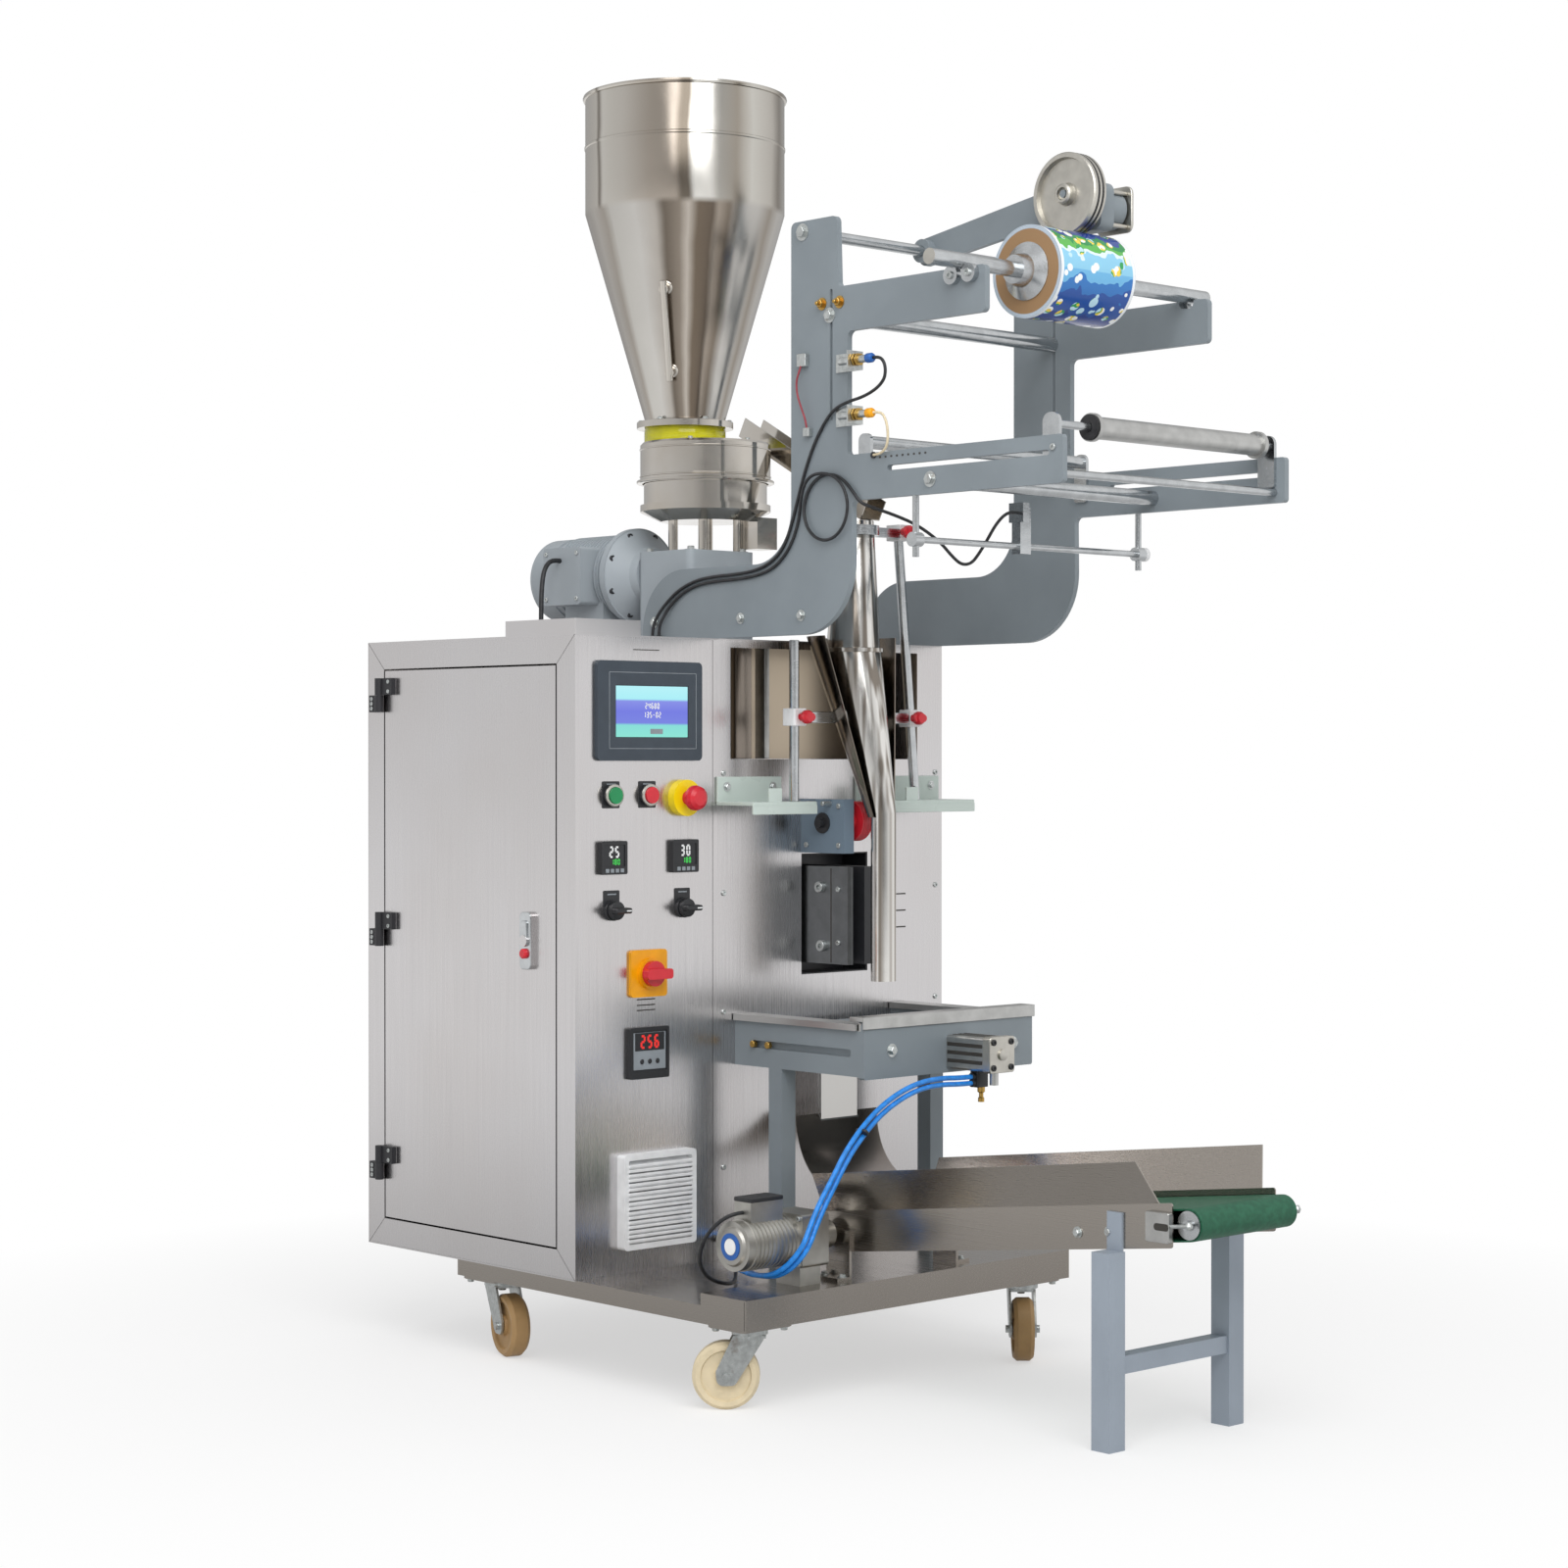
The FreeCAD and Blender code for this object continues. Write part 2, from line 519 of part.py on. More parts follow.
def swing_arm():
    ty, tz = TOP_ROD
    wy, wz = drive_wheel_centre()
    tilt = math.degrees(math.atan2(wz - tz, ty - wy))
    x0 = DRIVE_WHEEL_X + DRIVE_WHEEL_W + 4
    flat = plate_yz([(ty + 20, tz - 22, 18), (ty + 20, tz + 22, 18), (ty - SWING_R - 26, tz + 26, 20),
                     (ty - SWING_R - 26, tz - 26, 20)], x0, x0 + 10)
    flat.rotate(V(0, ty, tz), AX_X, -tilt)
    hub = ring((x0 - 14, ty, tz), AX_X, ROD_R + 10, ROD_R + RUN_FIT, 42)
    flat = flat.cut(rod((x0 - 1, ty, tz), AX_X, ROD_R + RUN_FIT, 12))
    stub = rod((x0 - DRIVE_WHEEL_W - 6, wy, wz), AX_X, 6, DRIVE_WHEEL_W + 6)
    plate = plate_yz(rect(wy - 34, wy + 34, wz - 40, wz + 40, 8), x0 + 10, x0 + 16)
    gear = plate_yz(rect(wy - 36, wy + 30, wz - 52, wz + 22, 14), x0 + 16, x0 + 46)
    motor = rod((x0 + 46, wy - 3, wz - 14), AX_X, 30, 34)
    arm = joined([flat, hub, stub, plate, gear, motor])
    a, b = DRIVE_WHEEL_X, DRIVE_WHEEL_X + DRIVE_WHEEL_W
    r = DRIVE_WHEEL_R
    wheel = turned_x([(6 + RUN_FIT, a + 2), (16, a + 2), (18, a + 8), (r - 10, a + 8), (r - 8, a), (r - 2, a), (r, a + 2),
                      (r, a + 8), (r - 3, a + 9), (r - 3, a + 12), (r, a + 13), (r, b - 9), (r - 3, b - 8),
                      (r - 3, b - 5), (r, b - 4), (r, b), (6 + RUN_FIT, b)], wy, wz)
    return {"swing_arm": arm, "drive_wheel": wheel}


def sensors():
    parts = {}
    y, z = SENSOR_Y, SENSOR_Z
    rods = []
    for x in (PLATE_XL + 5, PLATE_XR + 5):
        rods.append(rod((x, y, z - 26), AX_Z, 5, ARM_LO[0] - z + 26))
    bar = rod((PLATE_XL + 5, y, z), AX_X, 5, PLATE_XR - PLATE_XL)
    clamps = [rod((x - 9, y, z), AX_X, 11, 18) for x in (PLATE_XL + 5, PLATE_XR + 5)]
    eye = box(516, 540, y - 9, y + 9, z - 12, z + 60)
    head = box(506, 520, y - 24, y + 6, z + 36, z + 66)
    parts["sensor_bars"] = joined(rods + [bar, eye, head] + clamps)
    front = COLUMN_Y - COLUMN_W
    pieces = []
    for sz in (1563.0, 1480.0):
        bracket = box(PLATE_XL - 3, PLATE_XL, front - 34, front + 22, sz - 14, sz + 14)
        flap = box(PLATE_XL - 32, PLATE_XL - 3, front - 34, front - 31, sz - 14, sz + 14)
        barrel = rod((PLATE_XL - 18, front - 62, sz), AX_Y, 6, 60)
        pieces.append(joined([bracket, flap, barrel]))
    parts["proximity_sensors"] = Part.makeCompound(pieces)
    return parts


def filler():
    parts = {}
    roof = CAB_Z1
    x, y = DRUM_X, DRUM_Y
    z0, z1, z2, z3, z4 = DRUM_Z
    gear_top = 1298.0
    casting = plate_xy(rect(PLATE_XL + PLATE_T + 3, x + 52, y - 66, y + 66, 12), roof, gear_top)
    neck = turned_y([(0, y + 66), (44, y + 66), (48, y + 80), (78, FLANGE_Y - 12), (80, FLANGE_Y - 12),
                     (80, FLANGE_Y), (0, FLANGE_Y)], MOTOR_X, MOTOR_Z)
    body = rod((MOTOR_X, FLANGE_Y, MOTOR_Z), AX_Y, MOTOR_R, 150)
    cowl = turned_y([(0, FLANGE_Y + 150), (70, FLANGE_Y + 150), (70, FLANGE_Y + 196), (60, FLANGE_Y + 208),
                     (0, FLANGE_Y + 208)], MOTOR_X, MOTOR_Z)
    cover = plate_yz(rect(FLANGE_Y + 30, FLANGE_Y + 128, MOTOR_Z - 48, MOTOR_Z + 48, 6), MOTOR_X - 96,
                     MOTOR_X - 50)
    foot = box(MOTOR_X - 55, MOTOR_X + 55, FLANGE_Y + 20, FLANGE_Y + 120, roof, MOTOR_Z - 40)
    parts["worm_gear_motor"] = joined([casting, neck, body, cowl, cover, foot])

    posts = []
    for dx, dy in ((-38, -38), (38, -38), (38, 38), (-38, 38)):
        posts.append(rod((x + dx, y + dy, gear_top), AX_Z, 8, z0 - gear_top))
    shaft = rod((x, y, gear_top), AX_Z, 12, z1 - gear_top + 8)
    disc = turned([(0, z0), (DRUM_R - 34, z0), (DRUM_R, z0 + 16), (DRUM_R, z1), (0, z1)], (x, y))
    block = box(x + 40, x + 84, y - 84, y - 44, z0 - 46, z0 + 6)
    rotor = turned([(12 + RUN_FIT, z1 + FIT), (DRUM_R - 6, z1 + FIT), (DRUM_R - 6, z3 - FIT),
                    (12 + RUN_FIT, z3 - FIT)], (x, y))
    cups = 6
    for i in range(cups):
        a = 2 * math.pi * i / cups
        rotor = rotor.cut(rod((x + 66 * math.cos(a), y + 66 * math.sin(a), z1), AX_Z, 22, 60))
    parts["metering_cups"] = rotor
    upper = turned([(0, z3), (DRUM_R, z3), (DRUM_R, z4), (DRUM_R - 4, z4 + 4), (0, z4 + 4)], (x, y))
    strut = box(x - 12, x + 12, y + DRUM_R - 2, y + DRUM_R + 8, z0 + 16, z4)
    lug = box(x + DRUM_R - 6, CHUTE_X - CHUTE_W, y - 13, y + 13, z4 - 30, z4)
    parts["filler_housing"] = joined(posts + [shaft, disc, block, upper, strut, lug])

    hx, hy = HOPPER_X, HOPPER_Y
    c0, c1, c2 = HOPPER_Z
    r0, r1, w = HOPPER_OUT_R, HOPPER_R, HOPPER_WALL
    base = z4 + 4
    profile = [(r0, base), (r0, c0), (r1, c1), (r1, c2 - 6), (r1 + 4, c2 - 4), (r1 + 4, c2), (r1 - w, c2),
               (r1 - w, c1), (r0 - w, c0), (r0 - w, base)]
    shell = turned(profile, (hx, hy))
    flange = ring((hx, hy, c0 - 18), AX_Z, r0 + 14, r0 - 1, 14)
    parts["hopper"] = joined([shell, flange])
    parts["feed_chute"] = feed_chute()
    return parts


def feed_chute():
    """Open channel that slopes from beside the drum down into the mouth of the forming tube."""
    x = CHUTE_X
    start = (DRUM_Y + 47, DRUM_Z[4] + 28)
    end = (TUBE_Y + FUNNEL_R - 2, TUBE_Z[3] + 1)
    w, h, t = CHUTE_W, 34.0, 2.0
    dy, dz = end[0] - start[0], end[1] - start[1]
    length = math.hypot(dy, dz)
    channel = box(x - w, x + w, -length, 0, 0, h).cut(box(x - w + t, x + w - t, -length - 1, 1, t, h + 1))
    channel.rotate(V(0, 0, 0), AX_X, math.degrees(math.atan2(-dz, -dy)))
    channel.translate(V(0, start[0], start[1]))
    return channel


def former():
    parts = {}
    x, y = TUBE_X, TUBE_Y
    z0, z1, z2, z3 = TUBE_Z
    r, w, f = TUBE_R, TUBE_WALL, FUNNEL_R
    tube = turned([(r, z0), (r, z1), (f, z2), (f, z3), (f - w, z3), (f - w, z2), (r - w, z1), (r - w, z0)], (x, y))
    band = ring((x, y, z2 + 4), AX_Z, f + 5, f - w / 2, 8)
    parts["forming_tube"] = joined([tube, band])
    c0, c1 = COLLAR_Z
    inner = r + FIT
    outside = [(inner + 2, c0), (COLLAR_R, c1)]
    cone = turned([(inner, c0)] + outside + [(COLLAR_R - 2, c1)], (x, y))
    front = box(x - 200, x + 200, y - 200, y - 20, c0 - 1, c1 + 1)
    parts["forming_collar"] = cone.cut(front)

    core = turned([(0, c0)] + [(r + FIT, z) for r, z in outside] + [(0, c1)], (x, y))
    pieces = []
    for sx, side in zip(STAND_X, (1, -1)):
        top = CAB_Z1 - 2 if side == 1 else z3
        pieces.append(rod((sx, STAND_Y, STAND_FOOT), AX_Z, 7, top - STAND_FOOT))
        pieces.append(box(sx - 35, sx + 35, STAND_Y - 18, 0, STAND_FOOT - 16, STAND_FOOT))
        pieces.append(box(sx - 35, sx + 35, -6, 0, STAND_FOOT, STAND_FOOT + 22))
        a, b = sorted((sx - side * 14, x - side * 20))
        pieces.append(box(a, b, STAND_Y - 14, STAND_Y - 2, STAND_BAR, STAND_BAR + 24).cut(core))
    clamp = ring((x, y, z3 - 26), AX_Z, f + 9, f, 18)
    arm = box(x + f + 4, STAND_X[1] + 10, y - 8, STAND_Y + 10, z3 - 26, z3 - 8)
    pieces += [clamp, arm]
    parts["former_stand"] = joined(pieces)
    return parts


def sealing():
    parts = {}
    x0, x1 = SEAL_X
    y0 = SEAL_Y
    z0, z1 = SEAL_Z
    left = box(x0, x0 + RAIL_T, y0 + SEAL_T, 0, z0 + 4, z1 - 14)
    slot = plate_yz(rect(y0 + 30, -40, z0 + 34, z0 + 46, 5), x0 - 1, x0 + 8)
    right = box(x1 - RAIL_T, x1, y0 + SEAL_T, 0, z0 + 4, z1 - 14)
    front = plate_xz(rect(x0, x1, z0, z1, 4), y0, y0 + SEAL_T)
    frame = joined([left.cut(slot), right, front])
    posts = []
    foot = CASTOR_H + RAIL_H + PAN_T
    for px in (x0, x1 - 45):
        posts.append(box(px, px + RAIL_T, -110, -80, foot, z0 + 4))
    ledge = []
    for px in (x0 - 6, x1 - RAIL_T - 4):
        ledge.append(box(px, px + RAIL_T + 10, y0 + SEAL_T + 2, -2, z1 - 14, z1 - 4))
    middle = (z0 + z1) / 2
    guides = (x0 + 60, x1 - 60)
    bars = [rod((gx, y0 + SEAL_T, middle), AX_Y, 8, -y0 - SEAL_T) for gx in guides]
    rear_jaw = box(x0 + 42, x1 - 42, JAW_REAR_Y, -40, z0 + 22, z1 - 22)
    cx = (x0 + x1) / 2 + 18
    cz = middle - 12
    s = CYL_SIZE / 2
    bore = rod((cx, y0 - CYL_LEN + 20, cz), AX_Y, 8 + RUN_FIT, CYL_LEN)
    parts["sealing_frame"] = joined([frame] + posts + ledge + bars + [rear_jaw]).cut(bore)
    body = plate_xz(rect(cx - s, cx + s, cz - s, cz + s, 5), y0 - CYL_LEN, y0)
    parts["air_cylinder"] = joined([body, rod((cx, y0 - CYL_LEN + 14, cz - s - 22), AX_Z, 7, 24)]).cut(bore)
    face = JAW_REAR_Y - JAW_STROKE - JAW_GAP
    jaw = box(x0 + 42, x1 - 42, face - 40, face, z0 + 22, z1 - 22)
    rod_end = y0 - JAW_STROKE - 12
    jaw = joined([jaw, rod((cx, rod_end, cz), AX_Y, 8, face - 39 - rod_end)])
    for gx in guides:
        jaw = jaw.cut(rod((gx, y0, middle), AX_Y, 8 + RUN_FIT, 200))
    parts["front_sealing_jaw"] = jaw
    parts.update(vertical_seal())
    return parts


def vertical_seal():
    parts = {}
    a, b, c, d = SEAL_CUT
    back = box(a - 8, b + 8, SHEET, 60, c - 8, d + 8)
    back = back.cut(box(a + 2, b - 2, 0, 58, c + 2, d - 2))
    fixed = box(TUBE_X + 4, TUBE_X + 28, TUBE_Y + 30, 58, c + 20, d - 20)
    slides = [rod((a, 30, z), AX_X, 5, b - a) for z in (c + 50, d - 50)]
    jaw_x = TUBE_X + 4 - JAW_GAP - SIDE_STROKE
    jaw = box(jaw_x - SIDE_JAW_T, jaw_x, TUBE_Y + 30, 50, c + 20, d - 20)
    for z in (c + 50, d - 50):
        jaw = jaw.cut(rod((a, 30, z), AX_X, 5 + RUN_FIT, b - a))
    parts["vertical_sealing_jaw"] = jaw
    wy, wz = PULL_WHEEL
    block = box(478, 500, wy - 22, 0, wz - 52, wz + 36)
    shaft = rod((500, wy, wz), AX_X, 6, 42)
    housing = joined([back, fixed] + slides)
    parts["seal_unit_housing"] = Part.makeCompound([housing, joined([block, shaft])])
    r = PULL_WHEEL_R
    wheel = turned_x([(6 + RUN_FIT, 508), (12, 508), (14, 513), (r - 2, 513), (r, 511), (r, 533), (6 + RUN_FIT, 533)],
                     wy, wz)
    parts["film_pull_wheel"] = wheel
    return parts


def chute():
    """Curved slide under the jaws; its lower edge is moved sideways over the belt."""
    top = (431.0, 615.0, -38.0, 376.0)
    low = (292.0, 462.0, -296.0, 284.0)

    def edge(side):
        tx, ty, tz = top[side], top[2], top[3]
        bx, by, bz = low[side], low[2], low[3]
        mx, my, mz = (tx * 0.62 + bx * 0.38), ty - 62, bz - 4
        curve = Part.BezierCurve()
        curve.setPoles([V(tx, ty, tz), V(mx, my, mz), V(bx, by, bz)])
        return curve.toShape()
    thick = 2.5
    sheet = Part.makeRuledSurface(edge(0), edge(1)).extrude(V(0, 0, -thick))
    strap = box(482, 564, top[2] - 6, top[2] - 2, top[3] - 12, SEAL_Z[0] + 22)
    return joined([sheet, strap])


def conveyor():
    parts = {}
    slope = math.tan(math.radians(CONV_SLOPE))
    ty, tz = CONV_TAIL
    hy = CONV_HEAD_Y
    hz = tz + (ty - hy) * slope
    x0, x1 = CONV_X

    def lift(y):
        return tz + (ty - y) * slope
    sides = []
    for x, out in ((x0, -1), (x1 - SIDE_T, 1)):
        a, b = x, x + SIDE_T
        web = plate_yz([(ty + 26, lift(ty + 26) - 30, 4), (ty + 26, lift(ty + 26) + 32, 4),
                        (hy + 22, lift(hy + 22) + 32, 4), (hy + 22, lift(hy + 22) - 30, 4)], a, b)
        sides.append(web)
        gx = x if out < 0 else x + SIDE_T
        back, fore = ty + 20, hy + 66
        tip = 26 * out
        wall = [V(gx, back, lift(back) + 32), V(gx + tip, back, lift(back) + 92),
                V(gx + tip, fore, lift(fore) + 92), V(gx, fore - 20, lift(fore - 20) + 32)]
        face = Part.Face(Part.makePolygon(wall + wall[:1]))
        sides.append(face.extrude(V(-SIDE_T * out, 0, 0)))
    near = joined(sides[0:2])
    far = joined(sides[2:4])
    bed = plate_yz([(ty - 30, lift(ty - 30) + 10, 0), (ty - 30, lift(ty - 30) + 14, 0),
                    (hy + 40, lift(hy + 40) + 14, 0), (hy + 40, lift(hy + 40) + 10, 0)], x0 + SIDE_T, x1 - SIDE_T)
    beam_top = CASTOR_H + BEAM_H
    feet = []
    for a, b in ((x0 - 5, x0), (x1, x1 + 5)):
        feet.append(box(a, b, ty - 40, ty + 10, beam_top, tz + 6).cut(rod((a - 1, ty, tz), AX_X, 8, b - a + 2)))
        feet.append(box(min(a, x0 - 30) if a < x0 else a, b if a < x0 else x1 + 30, ty - 40, ty + 10, beam_top,
                        beam_top + 5))
    parts["conveyor_sides"] = joined([near, bed, far] + feet)

    r = CONV_ROLLER_R
    rollers = []
    for y, z in ((ty, tz), (hy, hz)):
        core = rod((x0 + 8, y, z), AX_X, r, x1 - x0 - 16)
        axle = rod((x0 + SIDE_T, y, z), AX_X, 7, x1 - x0 - 2 * SIDE_T)
        rollers.append(joined([core, axle]))
    parts["conveyor_rollers"] = Part.makeCompound(rollers)
    parts["conveyor_belt"] = belt(x0 + 10, x1 - 10, (ty, tz), (hy, hz), r, BELT_T)

    legs = []
    bar_z = LEG_BAR_Z
    leg_x = (x0 - LEG, x1)
    for lx in leg_x:
        top = lift(LEG_Y) - 34
        legs.append(box(lx, lx + LEG, LEG_Y, LEG_Y + LEG, 0, top))
        outer = lx + LEG - 4 if lx < x0 else lx
        legs.append(box(outer, outer + 4, LEG_Y + 3, LEG_Y + 30, top - 1, lift(LEG_Y) + 20))
    legs.append(box(leg_x[0] + LEG, leg_x[1], LEG_Y + 4, LEG_Y + 29, bar_z, bar_z + 25))
    parts["conveyor_legs"] = joined(legs)

    mx0 = 36.0
    body = rod((mx0, ty, tz), AX_X, 37, 104)
    gear = plate_yz(rect(ty - 40, ty + 40, tz - 40, tz + 40, 6), mx0 + 104, mx0 + 158)
    cap = box(mx0 + 20, mx0 + 84, ty - 18, ty + 18, tz + 32, tz + 66)
    out = rod((mx0 + 158, ty, tz), AX_X, 7, x0 - mx0 - 158)
    coupling = rod((mx0 + 166, ty, tz), AX_X, 22, 26)
    stand = box(mx0 + 108, mx0 + 150, ty - 30, ty + 22, beam_top, tz - 39)
    parts["conveyor_motor"] = joined([body, gear, cap, out, coupling, stand])
    return parts


def belt(x0, x1, tail, head, r, t):
    """Flat belt around two rollers of the same radius: a loop of two straight runs and two half turns."""
    def loop(radius):
        a, b = V(0, tail[0], tail[1]), V(0, head[0], head[1])
        run = (b - a).normalize()
        up = V(0, run.z, -run.y)
        up = up if up.z > 0 else up * -1
        edges = [Part.LineSegment(a + up * radius, b + up * radius).toShape(),
                 Part.Arc(b + up * radius, b + run * radius, b - up * radius).toShape(),
                 Part.LineSegment(b - up * radius, a - up * radius).toShape(),
                 Part.Arc(a - up * radius, a - run * radius, a + up * radius).toShape()]
        wire = Part.Wire(edges)
        solid = Part.Face(wire).extrude(V(x1 - x0, 0, 0))
        solid.translate(V(x0, 0, 0))
        return solid
    return loop(r + FIT + t).cut(loop(r + FIT))


def bounds(shapes):
    whole = FreeCAD.BoundBox()
    for shape in shapes:
        whole.add(shape.BoundBox)
    return whole


def main():
    parts = {}
    parts.update(cabinet())
    parts["side_door"] = side_door()
    parts["base_frame"] = base_frame()
    places = [(x, y) for y in (CASTOR_YF, CASTOR_YR) for x in CASTOR_X]
    names = ("front_left", "front_right", "rear_left", "rear_right")
    for name, (x, y), turn in zip(names, places, CASTOR_TURN):
        fork, wheel = castor_fork(x, y), castor_wheel(x, y)
        for shape in (fork, wheel):
            shape.rotate(V(x, y, 0), AX_Z, turn - 90)
        parts[name + "_castor_fork"] = fork
        parts[name + "_castor_wheel"] = wheel
    parts.update(instruments())
    parts.update(film_frame())
    parts.update(filler())
    parts.update(former())
    parts.update(sealing())
    parts["bag_chute"] = chute()
    parts.update(conveyor())
    box_all = bounds(parts.values())
    shift = V(-box_all.Center.x, -box_all.Center.y, -box_all.ZMin)
    print("shift", round(shift.x, 3), round(shift.y, 3), round(shift.z, 3))
    print("size", round(box_all.XLength, 1), round(box_all.YLength, 1), round(box_all.ZLength, 1))
    os.makedirs("parts", exist_ok=True)
    for name in parts:
        shape = parts[name].copy()
        shape.translate(shift)
        if not shape.isValid():
            print("not valid:", name)
        shape.exportStep("parts/" + name + ".step")
    print(len(parts), "nodes")


main()
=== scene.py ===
import math

import bmesh
import bpy
import numpy as np
from bpy.props import FloatProperty, FloatVectorProperty, IntProperty
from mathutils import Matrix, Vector


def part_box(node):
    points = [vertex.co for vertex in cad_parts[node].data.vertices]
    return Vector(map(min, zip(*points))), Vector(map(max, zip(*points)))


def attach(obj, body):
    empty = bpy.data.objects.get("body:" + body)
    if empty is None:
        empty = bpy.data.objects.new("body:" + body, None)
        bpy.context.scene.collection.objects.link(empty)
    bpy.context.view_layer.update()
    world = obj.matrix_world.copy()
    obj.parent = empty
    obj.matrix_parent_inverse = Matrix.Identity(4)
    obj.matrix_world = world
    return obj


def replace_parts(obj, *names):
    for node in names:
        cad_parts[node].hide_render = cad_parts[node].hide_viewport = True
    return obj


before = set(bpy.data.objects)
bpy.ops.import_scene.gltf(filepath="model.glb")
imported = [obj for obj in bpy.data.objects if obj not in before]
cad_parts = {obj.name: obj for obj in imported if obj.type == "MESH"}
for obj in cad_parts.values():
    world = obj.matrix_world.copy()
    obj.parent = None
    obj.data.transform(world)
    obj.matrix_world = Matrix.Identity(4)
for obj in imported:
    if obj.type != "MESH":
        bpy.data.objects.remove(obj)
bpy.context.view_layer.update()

bl_info = {
    "name": "Bagging Machine",
    "version": (1, 0, 0),
    "blender": (4, 5, 0),
    "location": "View3D > Sidebar > Bagger",
    "description": "Finishes, small fittings and cables of a vertical bagging machine",
    "category": "Object",
}

MM = 0.001
# The cabinet's front left corner on the floor. Places below are in millimetres from it:
# X to the right along the front, Y to the back, Z up.
CORNER = Vector((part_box("cabinet_roof")[0].x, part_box("cabinet_roof")[0].y, 0.0))


def at(x, y, z):
    """A place in millimetres from the cabinet's corner, as a point of the frame in metres."""
    return CORNER + Vector((x, y, z)) * MM


def mm_box(name):
    """Lowest and highest corner of a carried-over node in millimetres from the cabinet's corner."""
    return [[(c - o) / MM for c, o in zip(end, CORNER)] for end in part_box(name)]


def linear(code):
    """An sRGB hex colour as linear red, green and blue."""
    parts = [int(code[i:i + 2], 16) / 255 for i in (1, 3, 5)]
    return tuple(c / 12.92 if c <= 0.04045 else ((c + 0.055) / 1.055) ** 2.4 for c in parts)


def rgba(colour):
    return tuple(colour)[:3] + (1.0,)


def add(tree, kind, values=None, links=None, **attributes):
    """Adds a node: attributes are its own settings, values its sockets' numbers, links what feeds them."""
    made = tree.nodes.new(kind)
    for key, value in attributes.items():
        setattr(made, key, value)
    for key, value in (values or {}).items():
        made.inputs[key].default_value = value
    for key, source in (links or {}).items():
        tree.links.new(source, made.inputs[key])
    return made


class FinishSettings(bpy.types.PropertyGroup):
    """Colours of the machine's finishes."""
    stainless: FloatVectorProperty(name="Stainless", description="Brushed sheet of the cabinet",
                                   subtype="COLOR", default=linear("#D3D1D2"))
    enamel: FloatVectorProperty(name="Grey enamel", description="Paint of the film frame and the legs",
                                subtype="COLOR", default=linear("#858E94"))
    motor_paint: FloatVectorProperty(name="Motor paint", description="Paint of the gear motor",
                                     subtype="COLOR", default=linear("#A3ABB1"))
    belt: FloatVectorProperty(name="Belt", description="Top cover of the conveyor belt",
                              subtype="COLOR", default=linear("#0B5238"))
    tyre: FloatVectorProperty(name="Castor tyre", description="Nylon of the castor wheels",
                              subtype="COLOR", default=linear("#E6D6B4"))


class StageSettings(bpy.types.PropertyGroup):
    """Camera and light."""
    lens: FloatProperty(name="Lens", description="Focal length on a 36 mm sensor", subtype="DISTANCE_CAMERA",
                        default=71.68)
    key_strength: FloatProperty(name="Key light", description="Power of the large light", unit="POWER",
                                default=115.0)
    world_strength: FloatProperty(name="Room light", description="Brightness of the room", default=0.62)


def settings():
    return bpy.context.scene.bagger_finish


def start_material(name):
    """An empty material with its Principled shader, its output and the object's own coordinates."""
    made = bpy.data.materials.new(name)
    made.use_nodes = True
    tree = made.node_tree
    tree.nodes.clear()
    place = add(tree, "ShaderNodeTexCoord").outputs["Object"]
    shader = add(tree, "ShaderNodeBsdfPrincipled")
    add(tree, "ShaderNodeOutputMaterial", links={"Surface": shader.outputs["BSDF"]})
    return made, tree, shader, place


def grain(tree, place, across, along, axis, detail=4.0):
    """Noise drawn out along one axis: across and along are the sizes of a streak in millimetres."""
    size = [1 / (across * MM)] * 3
    size["XYZ".index(axis)] = 1 / (along * MM)
    turned = add(tree, "ShaderNodeMapping", {"Scale": size}, {"Vector": place})
    return add(tree, "ShaderNodeTexNoise", {"Scale": 1.0, "Detail": detail, "Roughness": 0.55},
               {"Vector": turned.outputs["Vector"]}).outputs["Fac"]


def patches(tree, place, size, detail=3.0):
    """Soft round noise whose patches are about size millimetres wide."""
    return add(tree, "ShaderNodeTexNoise", {"Scale": 1 / (size * MM), "Detail": detail, "Roughness": 0.5},
               {"Vector": place}).outputs["Fac"]


def spread(tree, source, low, high, out_low, out_high):
    """Maps a stretch of the noise onto a stretch of values."""
    return add(tree, "ShaderNodeMapRange", {"From Min": low, "From Max": high, "To Min": out_low,
                                            "To Max": out_high}, {"Value": source}).outputs["Result"]


def blend_colours(tree, source, first, second, low=0.35, high=0.65):
    """A colour between two, by where source lies between low and high."""
    share = spread(tree, source, low, high, 0.0, 1.0)
    mixed = add(tree, "ShaderNodeMix", {6: rgba(first), 7: rgba(second)}, {0: share}, data_type="RGBA")
    return mixed.outputs[2]


def bump(tree, height, distance, strength=1.0):
    """Small relief: distance is the height in millimetres between the noise's 0 and 1."""
    return add(tree, "ShaderNodeBump", {"Strength": strength, "Distance": distance * MM},
               {"Height": height}).outputs["Normal"]


def darker(colour, share):
    return tuple(c * share for c in tuple(colour)[:3])


